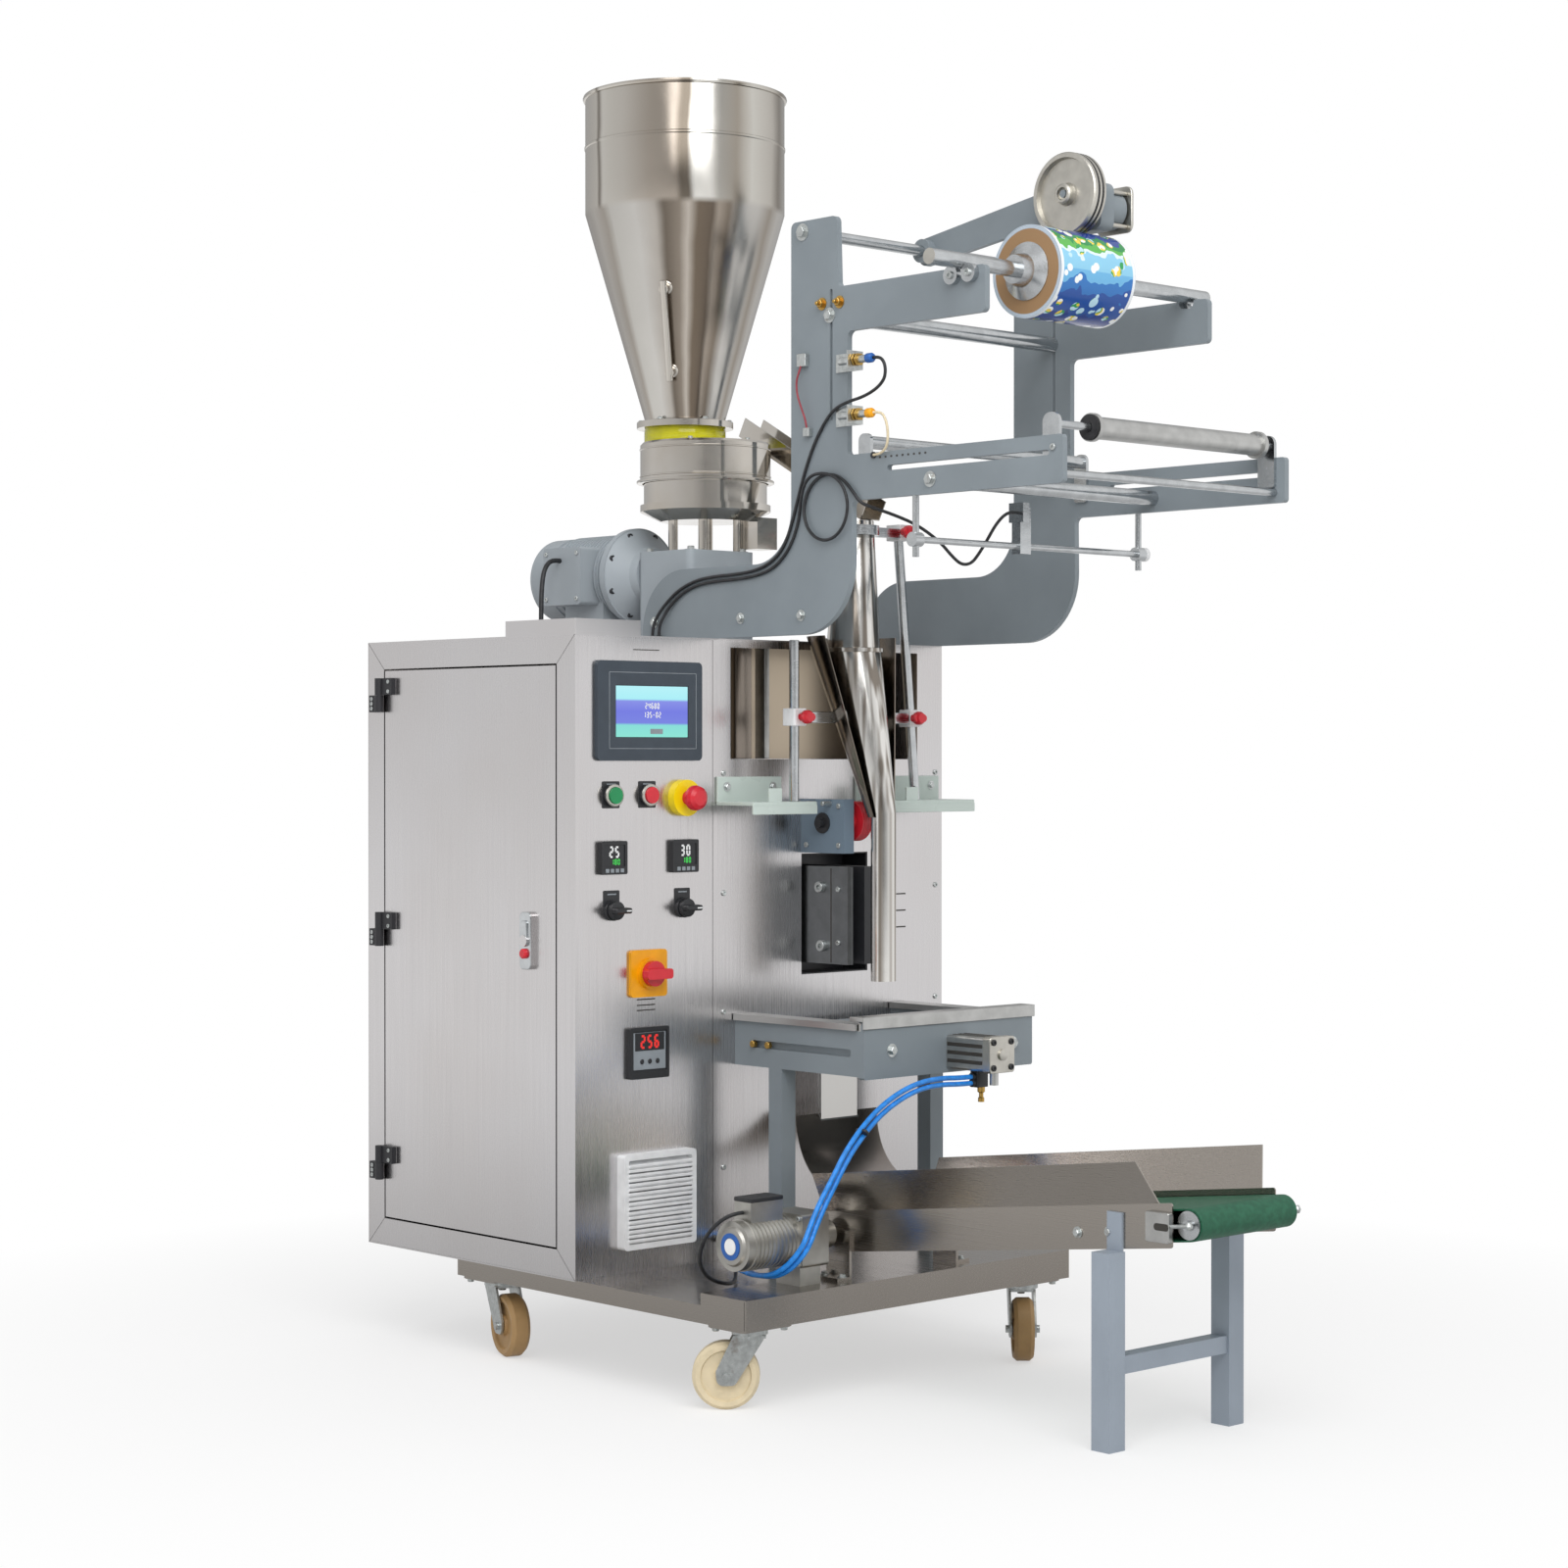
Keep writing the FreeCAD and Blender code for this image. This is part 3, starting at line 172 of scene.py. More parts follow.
def brushed_steel(name, colour, axis="Z", roughness=0.25, cloud=0.9):
    """Brushed stainless 304: fine straight lines from the grinding belt, and broad pale and brown clouds."""
    made, tree, shader, place = start_material(name)
    lines = grain(tree, place, 0.9, 240.0, axis)  # real lines are 0.1 mm apart and drawn coarser to show
    clouds = patches(tree, place, 420.0)
    warm = (colour[0] * 0.93, colour[1] * 0.91, colour[2] * 0.89)
    base = blend_colours(tree, clouds, colour, warm, 0.35, 0.75)
    dark = add(tree, "ShaderNodeMix", {7: rgba(darker(colour, cloud))},
               {0: spread(tree, lines, 0.45, 0.8, 0.0, 0.2), 6: base}, data_type="RGBA").outputs[2]
    tree.links.new(dark, shader.inputs["Base Color"])
    shader.inputs["Metallic"].default_value = 1.0
    tree.links.new(spread(tree, lines, 0.3, 0.7, roughness - 0.06, roughness + 0.08), shader.inputs["Roughness"])
    tree.links.new(bump(tree, lines, 0.004), shader.inputs["Normal"])
    return made


def polished_steel(name, colour, roughness=0.08):
    """Bright rolled stainless: almost a mirror, with faint hairlines round it and fingered patches."""
    made, tree, shader, place = start_material(name)
    hair = grain(tree, place, 160.0, 1.8, "Z")
    film = patches(tree, place, 90.0, 5.0)
    warm = (colour[0] * 0.9, colour[1] * 0.86, colour[2] * 0.8)
    tree.links.new(blend_colours(tree, film, colour, warm, 0.3, 0.8), shader.inputs["Base Color"])
    shader.inputs["Metallic"].default_value = 1.0
    tree.links.new(spread(tree, film, 0.3, 0.7, roughness, roughness + 0.1), shader.inputs["Roughness"])
    tree.links.new(bump(tree, hair, 0.01), shader.inputs["Normal"])
    return made


def painted_reflection_steel(name):
    """Drawn and hand-polished stainless tube: its colour holds painted reflections, long bright and dark lines where it
    would mirror the room.
    """
    made, tree, shader, place = start_material(name)
    # painted reflections: long streaks along Z between a dark taupe and a near white, in the base colour
    lines = grain(tree, place, 9.0, 6000.0, "Z", 0.5)
    tree.links.new(blend_colours(tree, lines, linear("#8A8279"), linear("#E6E4E0"), 0.36, 0.6),
                   shader.inputs["Base Color"])
    shader.inputs["Metallic"].default_value = 1.0
    tree.links.new(spread(tree, patches(tree, place, 40.0), 0.3, 0.7, 0.12, 0.22), shader.inputs["Roughness"])
    return made


def enamel(name, colour, roughness=0.38, peel=0.05):
    """Sprayed two-pack enamel: even colour, a soft gloss and the fine orange peel of the spray."""
    made, tree, shader, place = start_material(name)
    skin = patches(tree, place, 3.0, 2.0)
    dust = patches(tree, place, 120.0, 4.0)
    tree.links.new(blend_colours(tree, dust, colour, darker(colour, 0.9)), shader.inputs["Base Color"])
    tree.links.new(spread(tree, dust, 0.3, 0.7, roughness, roughness + 0.12), shader.inputs["Roughness"])
    tree.links.new(bump(tree, skin, peel), shader.inputs["Normal"])
    return made


def moulded_plastic(name, colour, roughness=0.42):
    """Injection-moulded ABS: even colour under a fine spark-eroded texture."""
    made, tree, shader, place = start_material(name)
    texture = patches(tree, place, 0.9, 2.0)
    tone = patches(tree, place, 25.0)
    tree.links.new(blend_colours(tree, tone, colour, darker(colour, 0.88)), shader.inputs["Base Color"])
    shader.inputs["Roughness"].default_value = roughness
    tree.links.new(bump(tree, texture, 0.02), shader.inputs["Normal"])
    return made


def plated_steel(name, colour, roughness=0.25, rust="#6A4A2C", amount=0.72):
    """Zinc-plated steel: a cool mottled shine with brown tarnish in patches."""
    made, tree, shader, place = start_material(name)
    spangle = patches(tree, place, 7.0, 5.0)
    stain = patches(tree, place, 18.0, 6.0)
    plated = blend_colours(tree, spangle, colour, darker(colour, 0.72), 0.3, 0.7)
    mixed = add(tree, "ShaderNodeMix", {7: rgba(linear(rust))},
                {0: spread(tree, stain, amount - 0.1, amount + 0.08, 0.0, 0.85), 6: plated}, data_type="RGBA")
    tree.links.new(mixed.outputs[2], shader.inputs["Base Color"])
    shader.inputs["Metallic"].default_value = 0.9
    tree.links.new(spread(tree, spangle, 0.3, 0.7, roughness, roughness + 0.2), shader.inputs["Roughness"])
    tree.links.new(bump(tree, spangle, 0.02), shader.inputs["Normal"])
    return made


def aluminium(name, colour, axis="X", roughness=0.33):
    """Drawn or turned aluminium: whitish metal with faint tool lines and a dull oxide bloom."""
    made, tree, shader, place = start_material(name)
    lines = grain(tree, place, 0.9, 60.0, axis)
    bloom = patches(tree, place, 22.0)
    tree.links.new(blend_colours(tree, bloom, colour, darker(colour, 0.86)), shader.inputs["Base Color"])
    shader.inputs["Metallic"].default_value = 1.0
    tree.links.new(spread(tree, lines, 0.3, 0.7, roughness - 0.05, roughness + 0.1), shader.inputs["Roughness"])
    tree.links.new(bump(tree, lines, 0.012), shader.inputs["Normal"])
    return made


def rubber(name, colour, roughness=0.6):
    """Vulcanised rubber or flexible PVC: dull, with a chalky bloom."""
    made, tree, shader, place = start_material(name)
    chalk = patches(tree, place, 9.0, 5.0)
    lighter = tuple(min(1.0, c * 1.5 + 0.01) for c in tuple(colour)[:3])
    tree.links.new(blend_colours(tree, chalk, colour, lighter, 0.4, 0.8), shader.inputs["Base Color"])
    shader.inputs["Roughness"].default_value = roughness
    tree.links.new(bump(tree, chalk, 0.03), shader.inputs["Normal"])
    return made


def box_mask(tree, place, low, high):
    """One inside a box given in millimetres from the cabinet's corner, and nothing outside it."""
    split = add(tree, "ShaderNodeSeparateXYZ", links={"Vector": place}).outputs
    share = None
    for k in range(3):
        middle = CORNER[k] + (low[k] + high[k]) / 2 * MM
        half = (high[k] - low[k]) / 2 * MM
        within = add(tree, "ShaderNodeMath", {1: middle, 2: half}, {0: split[k]}, operation="COMPARE").outputs[0]
        share = within if share is None else add(tree, "ShaderNodeMath", links={0: share, 1: within},
                                                 operation="MULTIPLY").outputs[0]
    return share


def patch(made, low, high, colour, roughness=0.45, metallic=0.0):
    """Gives the part of a material inside a box its own colour, roughness and metal share."""
    tree = made.node_tree
    shader = tree.nodes["Principled BSDF"]
    mask = box_mask(tree, tree.nodes["Texture Coordinate"].outputs["Object"], low, high)
    for name, value in (("Base Color", rgba(linear(colour))), ("Roughness", roughness), ("Metallic", metallic)):
        socket = shader.inputs[name]
        colours = name == "Base Color"
        first, second, out = (6, 7, 2) if colours else (2, 3, 0)
        mixed = add(tree, "ShaderNodeMix", {second: value}, {0: mask}, data_type="RGBA" if colours else "FLOAT")
        if socket.links:
            tree.links.new(socket.links[0].from_socket, mixed.inputs[first])
        else:
            mixed.inputs[first].default_value = socket.default_value
        tree.links.new(mixed.outputs[out], socket)
    return made


def ramp(tree, source, stops, interpolation="LINEAR"):
    """A colour ramp from (position, hex colour) pairs."""
    node = add(tree, "ShaderNodeValToRGB", links={"Fac": source})
    band = node.color_ramp
    band.interpolation = interpolation
    while len(band.elements) < len(stops):
        band.elements.new(0.5)
    for element, (where, colour) in zip(band.elements, stops):
        element.position = where
        element.color = rgba(linear(colour))
    return node.outputs["Color"]


def turn_about(tree, place, axis, first, second):
    """The angle of a point round a line, as a share of a turn: first and second name the line's two offsets."""
    moved = add(tree, "ShaderNodeVectorMath", {1: axis}, {0: place}, operation="SUBTRACT").outputs[0]
    split = add(tree, "ShaderNodeSeparateXYZ", links={"Vector": moved}).outputs
    angle = add(tree, "ShaderNodeMath", links={0: split[second], 1: split[first]}, operation="ARCTAN2").outputs[0]
    away = add(tree, "ShaderNodeCombineXYZ", links={"X": split[first], "Y": split[second]}).outputs[0]
    radius = add(tree, "ShaderNodeVectorMath", links={0: away}, operation="LENGTH").outputs["Value"]
    return spread(tree, angle, -math.pi, math.pi, 0.0, 1.0), radius, split


def hinged_steel(name, colour):
    """Brushed stainless whose raised hinges, on the left face near the back edge, are black zinc castings."""
    made = brushed_steel(name, colour)
    for z in (288, 675, 1062):
        patch(made, (-20, 460, z - 29), (-0.3, 545, z + 29), "#26262A", 0.5)
    return made


def hopper_sheet_painted_reflections(name):
    """Rolled stainless with a mirror shine, dulled in patches by handling: its colour holds painted reflections, tall
    soft light and dark streaks round the wall and the cone.
    """
    made, tree, shader, place = start_material(name)
    turn, radius, split = turn_about(tree, place, tuple(at(372, 168, 0)), "X", "Y")
    wobble = spread(tree, patches(tree, place, 190.0, 3.0), 0.0, 1.0, -0.012, 0.012)
    moved = add(tree, "ShaderNodeMath", links={0: turn, 1: wobble}, operation="ADD").outputs[0]
    # painted reflections: light and dark bands by angle round the hopper's axis, a narrow white strip among them, on
    # the upright wall
    wall = ramp(tree, moved, [(0.0, "#C9C5BD"), (0.03, "#C5C0B8"), (0.08, "#B0A79C"), (0.12, "#A79D92"),
                              (0.13, "#6E665C"), (0.142, "#6E665C"), (0.15, "#E4E2DC"), (0.178, "#DCD9D3"),
                              (0.19, "#B4B1AA"), (0.22, "#A39B90"), (0.25, "#CAC7C0"), (0.3, "#B7B2AA"),
                              (0.325, "#7F776D"), (0.36, "#A9A49C"), (0.5, "#C8C2BC"), (0.7, "#DAD6D2"),
                              (0.9, "#BDB8B0"), (0.965, "#C4BFB7"), (0.973, "#777067"), (0.982, "#CECAC3"),
                              (1.0, "#C9C5BD")])
    # painted reflections on the cone: darker brown bands and light strips by angle round the axis
    cone = ramp(tree, moved, [(0.0, "#C6C3BD"), (0.05, "#CBC8C3"), (0.085, "#B5AFA7"), (0.1, "#6F665C"),
                              (0.125, "#8C8277"), (0.14, "#BDB5AB"), (0.155, "#75695C"), (0.18, "#6D6257"),
                              (0.19, "#A89D91"), (0.21, "#83786C"), (0.235, "#C4C1BC"), (0.27, "#B9B6B1"),
                              (0.3, "#968E84"), (0.33, "#BFBBB5"), (0.5, "#C8C2BC"), (0.7, "#DAD6D2"),
                              (0.9, "#A59D94"), (0.95, "#BFBAB3"), (0.98, "#A8A198"), (1.0, "#C6C3BD")])
    share = spread(tree, split["Z"], 1.851, 1.861, 0.0, 1.0)
    # tone carries the painted reflections: the cone's bands below the wall's foot, the wall's above
    tone = add(tree, "ShaderNodeMix", links={0: share, 6: cone, 7: wall}, data_type="RGBA").outputs[2]
    tree.links.new(tone, shader.inputs["Base Color"])
    shader.inputs["Metallic"].default_value = 1.0
    film = patches(tree, place, 70.0, 5.0)
    tree.links.new(spread(tree, film, 0.3, 0.7, 0.16, 0.27), shader.inputs["Roughness"])
    tree.links.new(bump(tree, grain(tree, place, 160.0, 1.8, "Z"), 0.008), shader.inputs["Normal"])
    return made


def printed_film(name):
    """Printed laminate wound on a card core: glossy print outside, pale film edges and brown card at the ends."""
    made, tree, shader, place = start_material(name)
    turn, radius, split = turn_about(tree, place, tuple(at(512, -548, 1690)), "Y", "Z")
    waves = spread(tree, patches(tree, place, 38.0, 2.0), 0.2, 0.8, -0.05, 0.05)
    wavy = add(tree, "ShaderNodeMath", links={0: turn, 1: waves}, operation="ADD").outputs[0]
    bands = ramp(tree, wavy, [(0.0, "#6DB4E0"), (0.03, "#2A74BE"), (0.08, "#1B4FA0"), (0.17, "#16398A"),
                              (0.35, "#1C8A4A"), (0.42, "#DCEBF2"), (0.48, "#1B4FA0"), (0.6, "#14307A"),
                              (0.82, "#1B3F94"), (0.86, "#1F8C47"), (0.9, "#57B14A"), (0.925, "#DCEBF2"),
                              (0.945, "#8CC9E6")], "CONSTANT")
    leaves = add(tree, "ShaderNodeTexVoronoi", {"Scale": 1 / (23 * MM), "Randomness": 0.9}, {"Vector": place})
    drops = add(tree, "ShaderNodeMath", {1: 0.38}, {0: leaves.outputs["Distance"]}, operation="LESS_THAN").outputs[0]
    hues = ramp(tree, patches(tree, place, 24.0, 1.0), [(0.0, "#F4F7F6"), (0.47, "#F1D24A"), (0.53, "#2A9C50"),
                                                        (0.58, "#BFE2F2")], "CONSTANT")
    motif = add(tree, "ShaderNodeMix", links={0: drops, 6: bands, 7: hues}, data_type="RGBA").outputs[2]
    wide = add(tree, "ShaderNodeMath", operation="ABSOLUTE", links={0: split["X"]}).outputs[0]
    border = add(tree, "ShaderNodeMath", {1: 78 * MM}, {0: wide}, operation="GREATER_THAN").outputs[0]
    printed = add(tree, "ShaderNodeMix", {7: rgba(linear("#EDF1F4"))}, {0: border, 6: motif},
                  data_type="RGBA").outputs[2]
    rings = add(tree, "ShaderNodeTexNoise", {"Scale": 1.0, "Detail": 3.0},
                {"Vector": add(tree, "ShaderNodeCombineXYZ", links={
                    "X": spread(tree, radius, 0.0, 1.0, 0.0, 1600.0)}).outputs[0]}).outputs["Fac"]
    wound = blend_colours(tree, rings, linear("#D5DCE2"), linear("#7F97AE"), 0.4, 0.62)
    card = add(tree, "ShaderNodeMath", {1: 64 * MM}, {0: radius}, operation="LESS_THAN").outputs[0]
    ends = add(tree, "ShaderNodeMix", {7: rgba(linear("#9C7B57"))}, {0: card, 6: wound}, data_type="RGBA").outputs[2]
    flat = add(tree, "ShaderNodeMath", {1: 83.6 * MM}, {0: wide}, operation="GREATER_THAN").outputs[0]
    core = add(tree, "ShaderNodeMath", links={0: flat, 1: card}, operation="MAXIMUM").outputs[0]
    last = add(tree, "ShaderNodeMix", links={0: core, 6: printed, 7: ends}, data_type="RGBA").outputs[2]
    tree.links.new(last, shader.inputs["Base Color"])
    tree.links.new(spread(tree, core, 0.0, 1.0, 0.18, 0.6), shader.inputs["Roughness"])
    tree.links.new(bump(tree, patches(tree, place, 30.0, 2.0), 0.15), shader.inputs["Normal"])
    return made


def lit(name, stops, low, high, strength=0.75):
    """A lit display behind glass: its colours stand one over the other between two heights."""
    made, tree, shader, place = start_material(name)
    split = add(tree, "ShaderNodeSeparateXYZ", links={"Vector": place}).outputs
    share = spread(tree, split["Z"], CORNER.z + low * MM, CORNER.z + high * MM, 0.0, 1.0)
    colour = ramp(tree, share, stops)
    tree.links.new(colour, shader.inputs["Emission Color"])
    shader.inputs["Emission Strength"].default_value = strength
    shader.inputs["Base Color"].default_value = rgba(linear("#1A1D22"))
    tree.links.new(spread(tree, patches(tree, place, 30.0), 0.3, 0.7, 0.06, 0.14), shader.inputs["Roughness"])
    return made


def clear_acrylic(name, colour):
    """Clear yellow acrylic: light goes through it and takes its colour."""
    made, tree, shader, place = start_material(name)
    haze = patches(tree, place, 20.0)
    tree.links.new(blend_colours(tree, haze, colour, darker(colour, 0.85)), shader.inputs["Base Color"])
    shader.inputs["Transmission Weight"].default_value = 0.2
    shader.inputs["IOR"].default_value = 1.49
    tree.links.new(spread(tree, haze, 0.3, 0.7, 0.08, 0.18), shader.inputs["Roughness"])
    return made


def finishes():
    """All finishes of the carried-over nodes, by their name."""
    s = settings()
    steel = tuple(s.stainless)
    grey = tuple(s.enamel)
    return {
        "panel_steel": patch(brushed_steel("brushed_stainless_upright", steel, "Z"), (324, 126, 957), (749, 136, 1150),
                             "#B9AB98", 0.28, 1.0),
        "level_steel": brushed_steel("brushed_stainless_level", steel, "X", 0.34),
        # a darker, browner copy of the brushed stainless with darker lines, for the base frame and the conveyor's sides
        "brown_grey_steel": brushed_steel("worn_stainless", linear("#A9A39C"), "Y", 0.22, 0.7),
        "dark_steel": brushed_steel("dark_rolled_stainless", linear("#8C837A"), "Z", 0.18, 0.7),
        "chute_steel": patch(brushed_steel("chute_stainless", linear("#958C84"), "Z", 0.2, 0.75), (480, -46, 362),
                             (566, -38, 484), "#D2D0CD", 0.25, 1.0),
        "mirror_steel": polished_steel("polished_stainless", linear("#CCC8C2")),
        "grey_enamel": enamel("grey_enamel", grey),
        "ledged_enamel": patch(enamel("grey_enamel_and_ledges", grey), (325, -290, 535.5), (722, 5, 548), "#CFCFCD",
                               0.3, 1.0),
        "pale_enamel": enamel("pale_blue_grey_enamel", linear("#98A2AE")),
        "pale_plate": enamel("pale_green_plate", linear("#C2CEC8"), 0.25, 0.02),
        "motor_paint": enamel("gear_motor_paint", tuple(s.motor_paint), 0.42, 0.12),
        "black_abs": moulded_plastic("black_abs", linear("#26272A")),
        "bezel_abs": moulded_plastic("blue_black_abs", linear("#3B444E"), 0.5),
        "green_abs": moulded_plastic("green_abs", linear("#0E8A50"), 0.25),
        "red_abs": moulded_plastic("red_abs", linear("#D42634"), 0.25),
        "yellow_abs": moulded_plastic("yellow_abs", linear("#F5A800"), 0.35),
        "white_abs": moulded_plastic("white_abs", linear("#F0F1F2"), 0.5),
        "zinc": plated_steel("zinc_plated_steel", linear("#D0D4D3")),
        "chrome": aluminium("hard_chromed_rod", linear("#C9CCCE"), "X", 0.2),
        "aluminium": aluminium("drawn_aluminium", linear("#C6C6C4")),
        "turned_aluminium": aluminium("turned_aluminium", linear("#CDCAC2")),
        "tyre": moulded_plastic("nylon_wheel", tuple(s.tyre), 0.45),
        "belt": rubber("green_pvc_belt", tuple(s.belt), 0.5),
        "film": printed_film("printed_film"),
        "hinged_steel": hinged_steel("brushed_stainless_hinged", steel),
        "bezels": patch(moulded_plastic("black_abs_yellow_ring", linear("#2A2B2E")), (180, -20, 860), (260, 5, 930),
                        "#F8DC0C", 0.35),
        # the forming tube's colour holds painted reflections
        "painted_reflection_steel": painted_reflection_steel("streaked_stainless"),
        "red_cable": rubber("red_cable", linear("#8C2F3A"), 0.45),
        "housing": patch(moulded_plastic("black_abs_grey_block", linear("#2E2F33")), (476, -110, 795), (506, 2, 895),
                         "#6E7F8E", 0.4),
        "brown_tyre": moulded_plastic("nylon_wheel_brown", linear("#B08D5E"), 0.5),
        "blue_abs": moulded_plastic("blue_abs", linear("#1F5FB0"), 0.35),
        "white_ink": moulded_plastic("white_ink", linear("#F4F5F5"), 0.5),
        "grey_key": moulded_plastic("grey_key", linear("#8E959B"), 0.5),
        "dark_mark": moulded_plastic("dark_mark", linear("#3A3733"), 0.6),
        "brass": aluminium("brass", linear("#C9A35A"), "X", 0.3),
        # the hopper's colour holds painted reflections
        "hopper_steel": hopper_sheet_painted_reflections("hopper_steel"),
        "acrylic": clear_acrylic("yellow_acrylic", linear("#E9E41E")),
        "rubber": rubber("black_rubber", linear("#232325")),
        "hose": rubber("blue_hose", linear("#1B7FD6"), 0.3),
        "cable": rubber("cable_pvc", linear("#1E1F22"), 0.45),
        "screen": lit("lit_screen", [(0.0, "#86E3D2"), (0.24, "#7FDCD6"), (0.28, "#6F7BE0"), (0.5, "#6A72E0"),
                                     (0.7, "#8089E6"), (0.74, "#A6EEF6"), (1.0, "#B4F2F8")], 990, 1072, 0.95),
        "green_light": lit("green_light", [(0.0, "#35D24A"), (1.0, "#3BE052")], 700, 1100, 0.9),
        "red_light": lit("red_light", [(0.0, "#F0322C"), (1.0, "#FF3A30")], 400, 700, 0.9),
        "dark_aluminium": aluminium("dark_aluminium", linear("#85888A"), "Z", 0.34),
        "motor_grey": aluminium("cast_motor_grey", linear("#BFBDB7"), "X", 0.4),
    }


NODE_FINISH = {
    "level_steel": ["cabinet_roof"],
    "panel_steel": ["cabinet_walls", "control_panel", "machine_front_plate"],
    "hinged_steel": ["side_door", "door_frame"],
    "brown_grey_steel": ["base_frame", "conveyor_sides"],
    "dark_steel": ["forming_collar"],
    "chute_steel": ["bag_chute"],
    "mirror_steel": ["hopper", "forming_tube", "filler_housing", "metering_cups", "feed_chute"],
    "grey_enamel": ["left_side_plate", "right_side_plate", "swing_arm"],
    "ledged_enamel": ["sealing_frame"],
    "pale_enamel": ["conveyor_legs"],
    "motor_paint": ["worm_gear_motor"],
    "black_abs": ["temperature_controllers", "left_selector_knob", "right_selector_knob"],
    "bezels": ["button_bezels"],
    "housing": ["seal_unit_housing"],
    "bezel_abs": ["touch_screen"],
    "green_abs": ["green_button"],
    "red_abs": ["red_button", "e_stop_button", "main_switch_handle", "film_pull_wheel"],
    "yellow_abs": ["main_switch_plate"],
    "white_abs": ["vent_grille"],
    "zinc": ["proximity_sensors", "front_left_castor_fork", "front_right_castor_fork", "rear_left_castor_fork",
             "rear_right_castor_fork"],
    "tyre": ["front_left_castor_wheel"],
    "brown_tyre": ["front_right_castor_wheel", "rear_left_castor_wheel", "rear_right_castor_wheel"],
    "chrome": ["cross_rods", "film_shaft", "sensor_bars", "former_stand", "conveyor_rollers"],
    "aluminium": ["front_film_roller", "air_cylinder", "front_sealing_jaw"],
    "dark_aluminium": ["vertical_sealing_jaw"],
    "turned_aluminium": ["drive_wheel"],
    "belt": ["conveyor_belt"],
    "film": ["film_roll"],
    "motor_grey": ["conveyor_motor"],
}


class BAGGER_OT_finishes(bpy.types.Operator):
    """Gives every carried-over node its finish"""
    bl_idname = "bagger.finishes"
    bl_label = "Finishes"

    def execute(self, context):
        made = finishes()
        left = set(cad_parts)
        for finish, names in NODE_FINISH.items():
            for name in names:
                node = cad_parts[name]
                node.data.materials.clear()
                node.data.materials.append(made[finish])
                left.discard(name)
        if left:
            raise RuntimeError("no finish for " + ", ".join(sorted(left)))
        return {"FINISHED"}


FRONT = ((1, 0, 0), (0, 0, 1), (0, -1, 0))
BACK = ((1, 0, 0), (0, 0, 1), (0, 1, 0))
LEFT = ((0, 1, 0), (0, 0, 1), (-1, 0, 0))
RIGHT = ((0, 1, 0), (0, 0, 1), (1, 0, 0))
UP = ((1, 0, 0), (0, 1, 0), (0, 0, 1))
DOWN = ((1, 0, 0), (0, 1, 0), (0, 0, -1))
SHARP = math.radians(32)


def axes_along(direction):
    """Two axes square to a direction, and the direction itself, each one long."""
    n = np.array(direction, float)
    n /= np.linalg.norm(n)
    side = np.cross(n, (0.0, 1.0, 0.0) if abs(n[1]) < 0.9 else (1.0, 0.0, 0.0))
    side /= np.linalg.norm(side)
    return side, np.cross(n, side), n


def turned(profile, base, axes, turns=32):
    """A profile of (radius, height) points carried round the third axis through base.

    Point (i, j) is base + height_i * N + radius_i * (cos a_j * U + sin a_j * W), with a_j even round the circle.
    """
    r, h = np.array(profile, float).T
    a = np.linspace(0, 2 * np.pi, turns, endpoint=False)
    u, w, n = np.array(axes, float)
    ring = np.cos(a)[:, None] * u + np.sin(a)[:, None] * w
    points = np.array(base, float) + h[:, None, None] * n + r[:, None, None] * ring[None]
    return points.reshape(-1, 3), grid_faces(len(r), turns, r[0] > 0)


def grid_faces(rows, columns, closed_rows):
    """Quads of a grid that closes round its columns, and round its rows if asked."""
    i, j = np.meshgrid(np.arange(rows if closed_rows else rows - 1), np.arange(columns), indexing="ij")
    up, over = (i + 1) % rows, (j + 1) % columns
    quads = np.stack([i * columns + j, i * columns + over, up * columns + over, up * columns + j], -1)
    return [tuple(q) for q in quads.reshape(-1, 4).tolist()]


def rod(start, end, radius, turns=24):
    """A round bar between two points with a small chamfer at each end."""
    span = np.array(end, float) - np.array(start, float)
    length = np.linalg.norm(span)
    c = min(0.8, radius / 4)
    return turned([(0, 0), (radius - c, 0), (radius, c), (radius, length - c), (radius - c, length), (0, length)],
                  start, axes_along(span), turns)


def plate(centre, axes, half, radius, steps, arc=5):
    """A rounded rectangle carried along the third axis: each step is (inset of its edge, height).

    Its outline is the quarter circles of radius about the four corner centres, joined by straight sides.
    """
    u, w, n = np.array(axes, float)
    a = np.concatenate([np.linspace(q, q + np.pi / 2, arc) for q in np.arange(4) * np.pi / 2])
    sx = np.repeat([1, -1, -1, 1], arc)
    sy = np.repeat([1, 1, -1, -1], arc)
    rings = []
    for inset, height in steps:
        r = max(radius - inset, 0.02)
        x = sx * (half[0] - inset - r) + r * np.cos(a)
        y = sy * (half[1] - inset - r) + r * np.sin(a)
        rings.append(np.array(centre, float) + x[:, None] * u + y[:, None] * w + height * n)
    count = len(a)
    faces = grid_faces(len(steps), count, False)
    faces += [tuple(range(count)), tuple(range((len(steps) - 1) * count, len(steps) * count))]
    return np.concatenate(rings), faces


def block(low, high, radius=1.5, edge=0.8):
    """A box between two corners with rounded upright edges and a chamfer above and below."""
    low, high = np.array(low, float), np.array(high, float)
    middle = (low + high) / 2
    size = high - low
    return plate((middle[0], middle[1], low[2]), UP, size[:2] / 2, radius,
                 [(edge, 0), (0, edge), (0, size[2] - edge), (edge, size[2])])


def tile(centre, axes, half, thick, radius=1.0, edge=0.3):
    """A thin plate that lies on a face: centre is on the face and thick is how far it stands out."""
    return plate(centre, axes, half, radius, [(0, 0), (0, thick - edge), (edge, thick)])


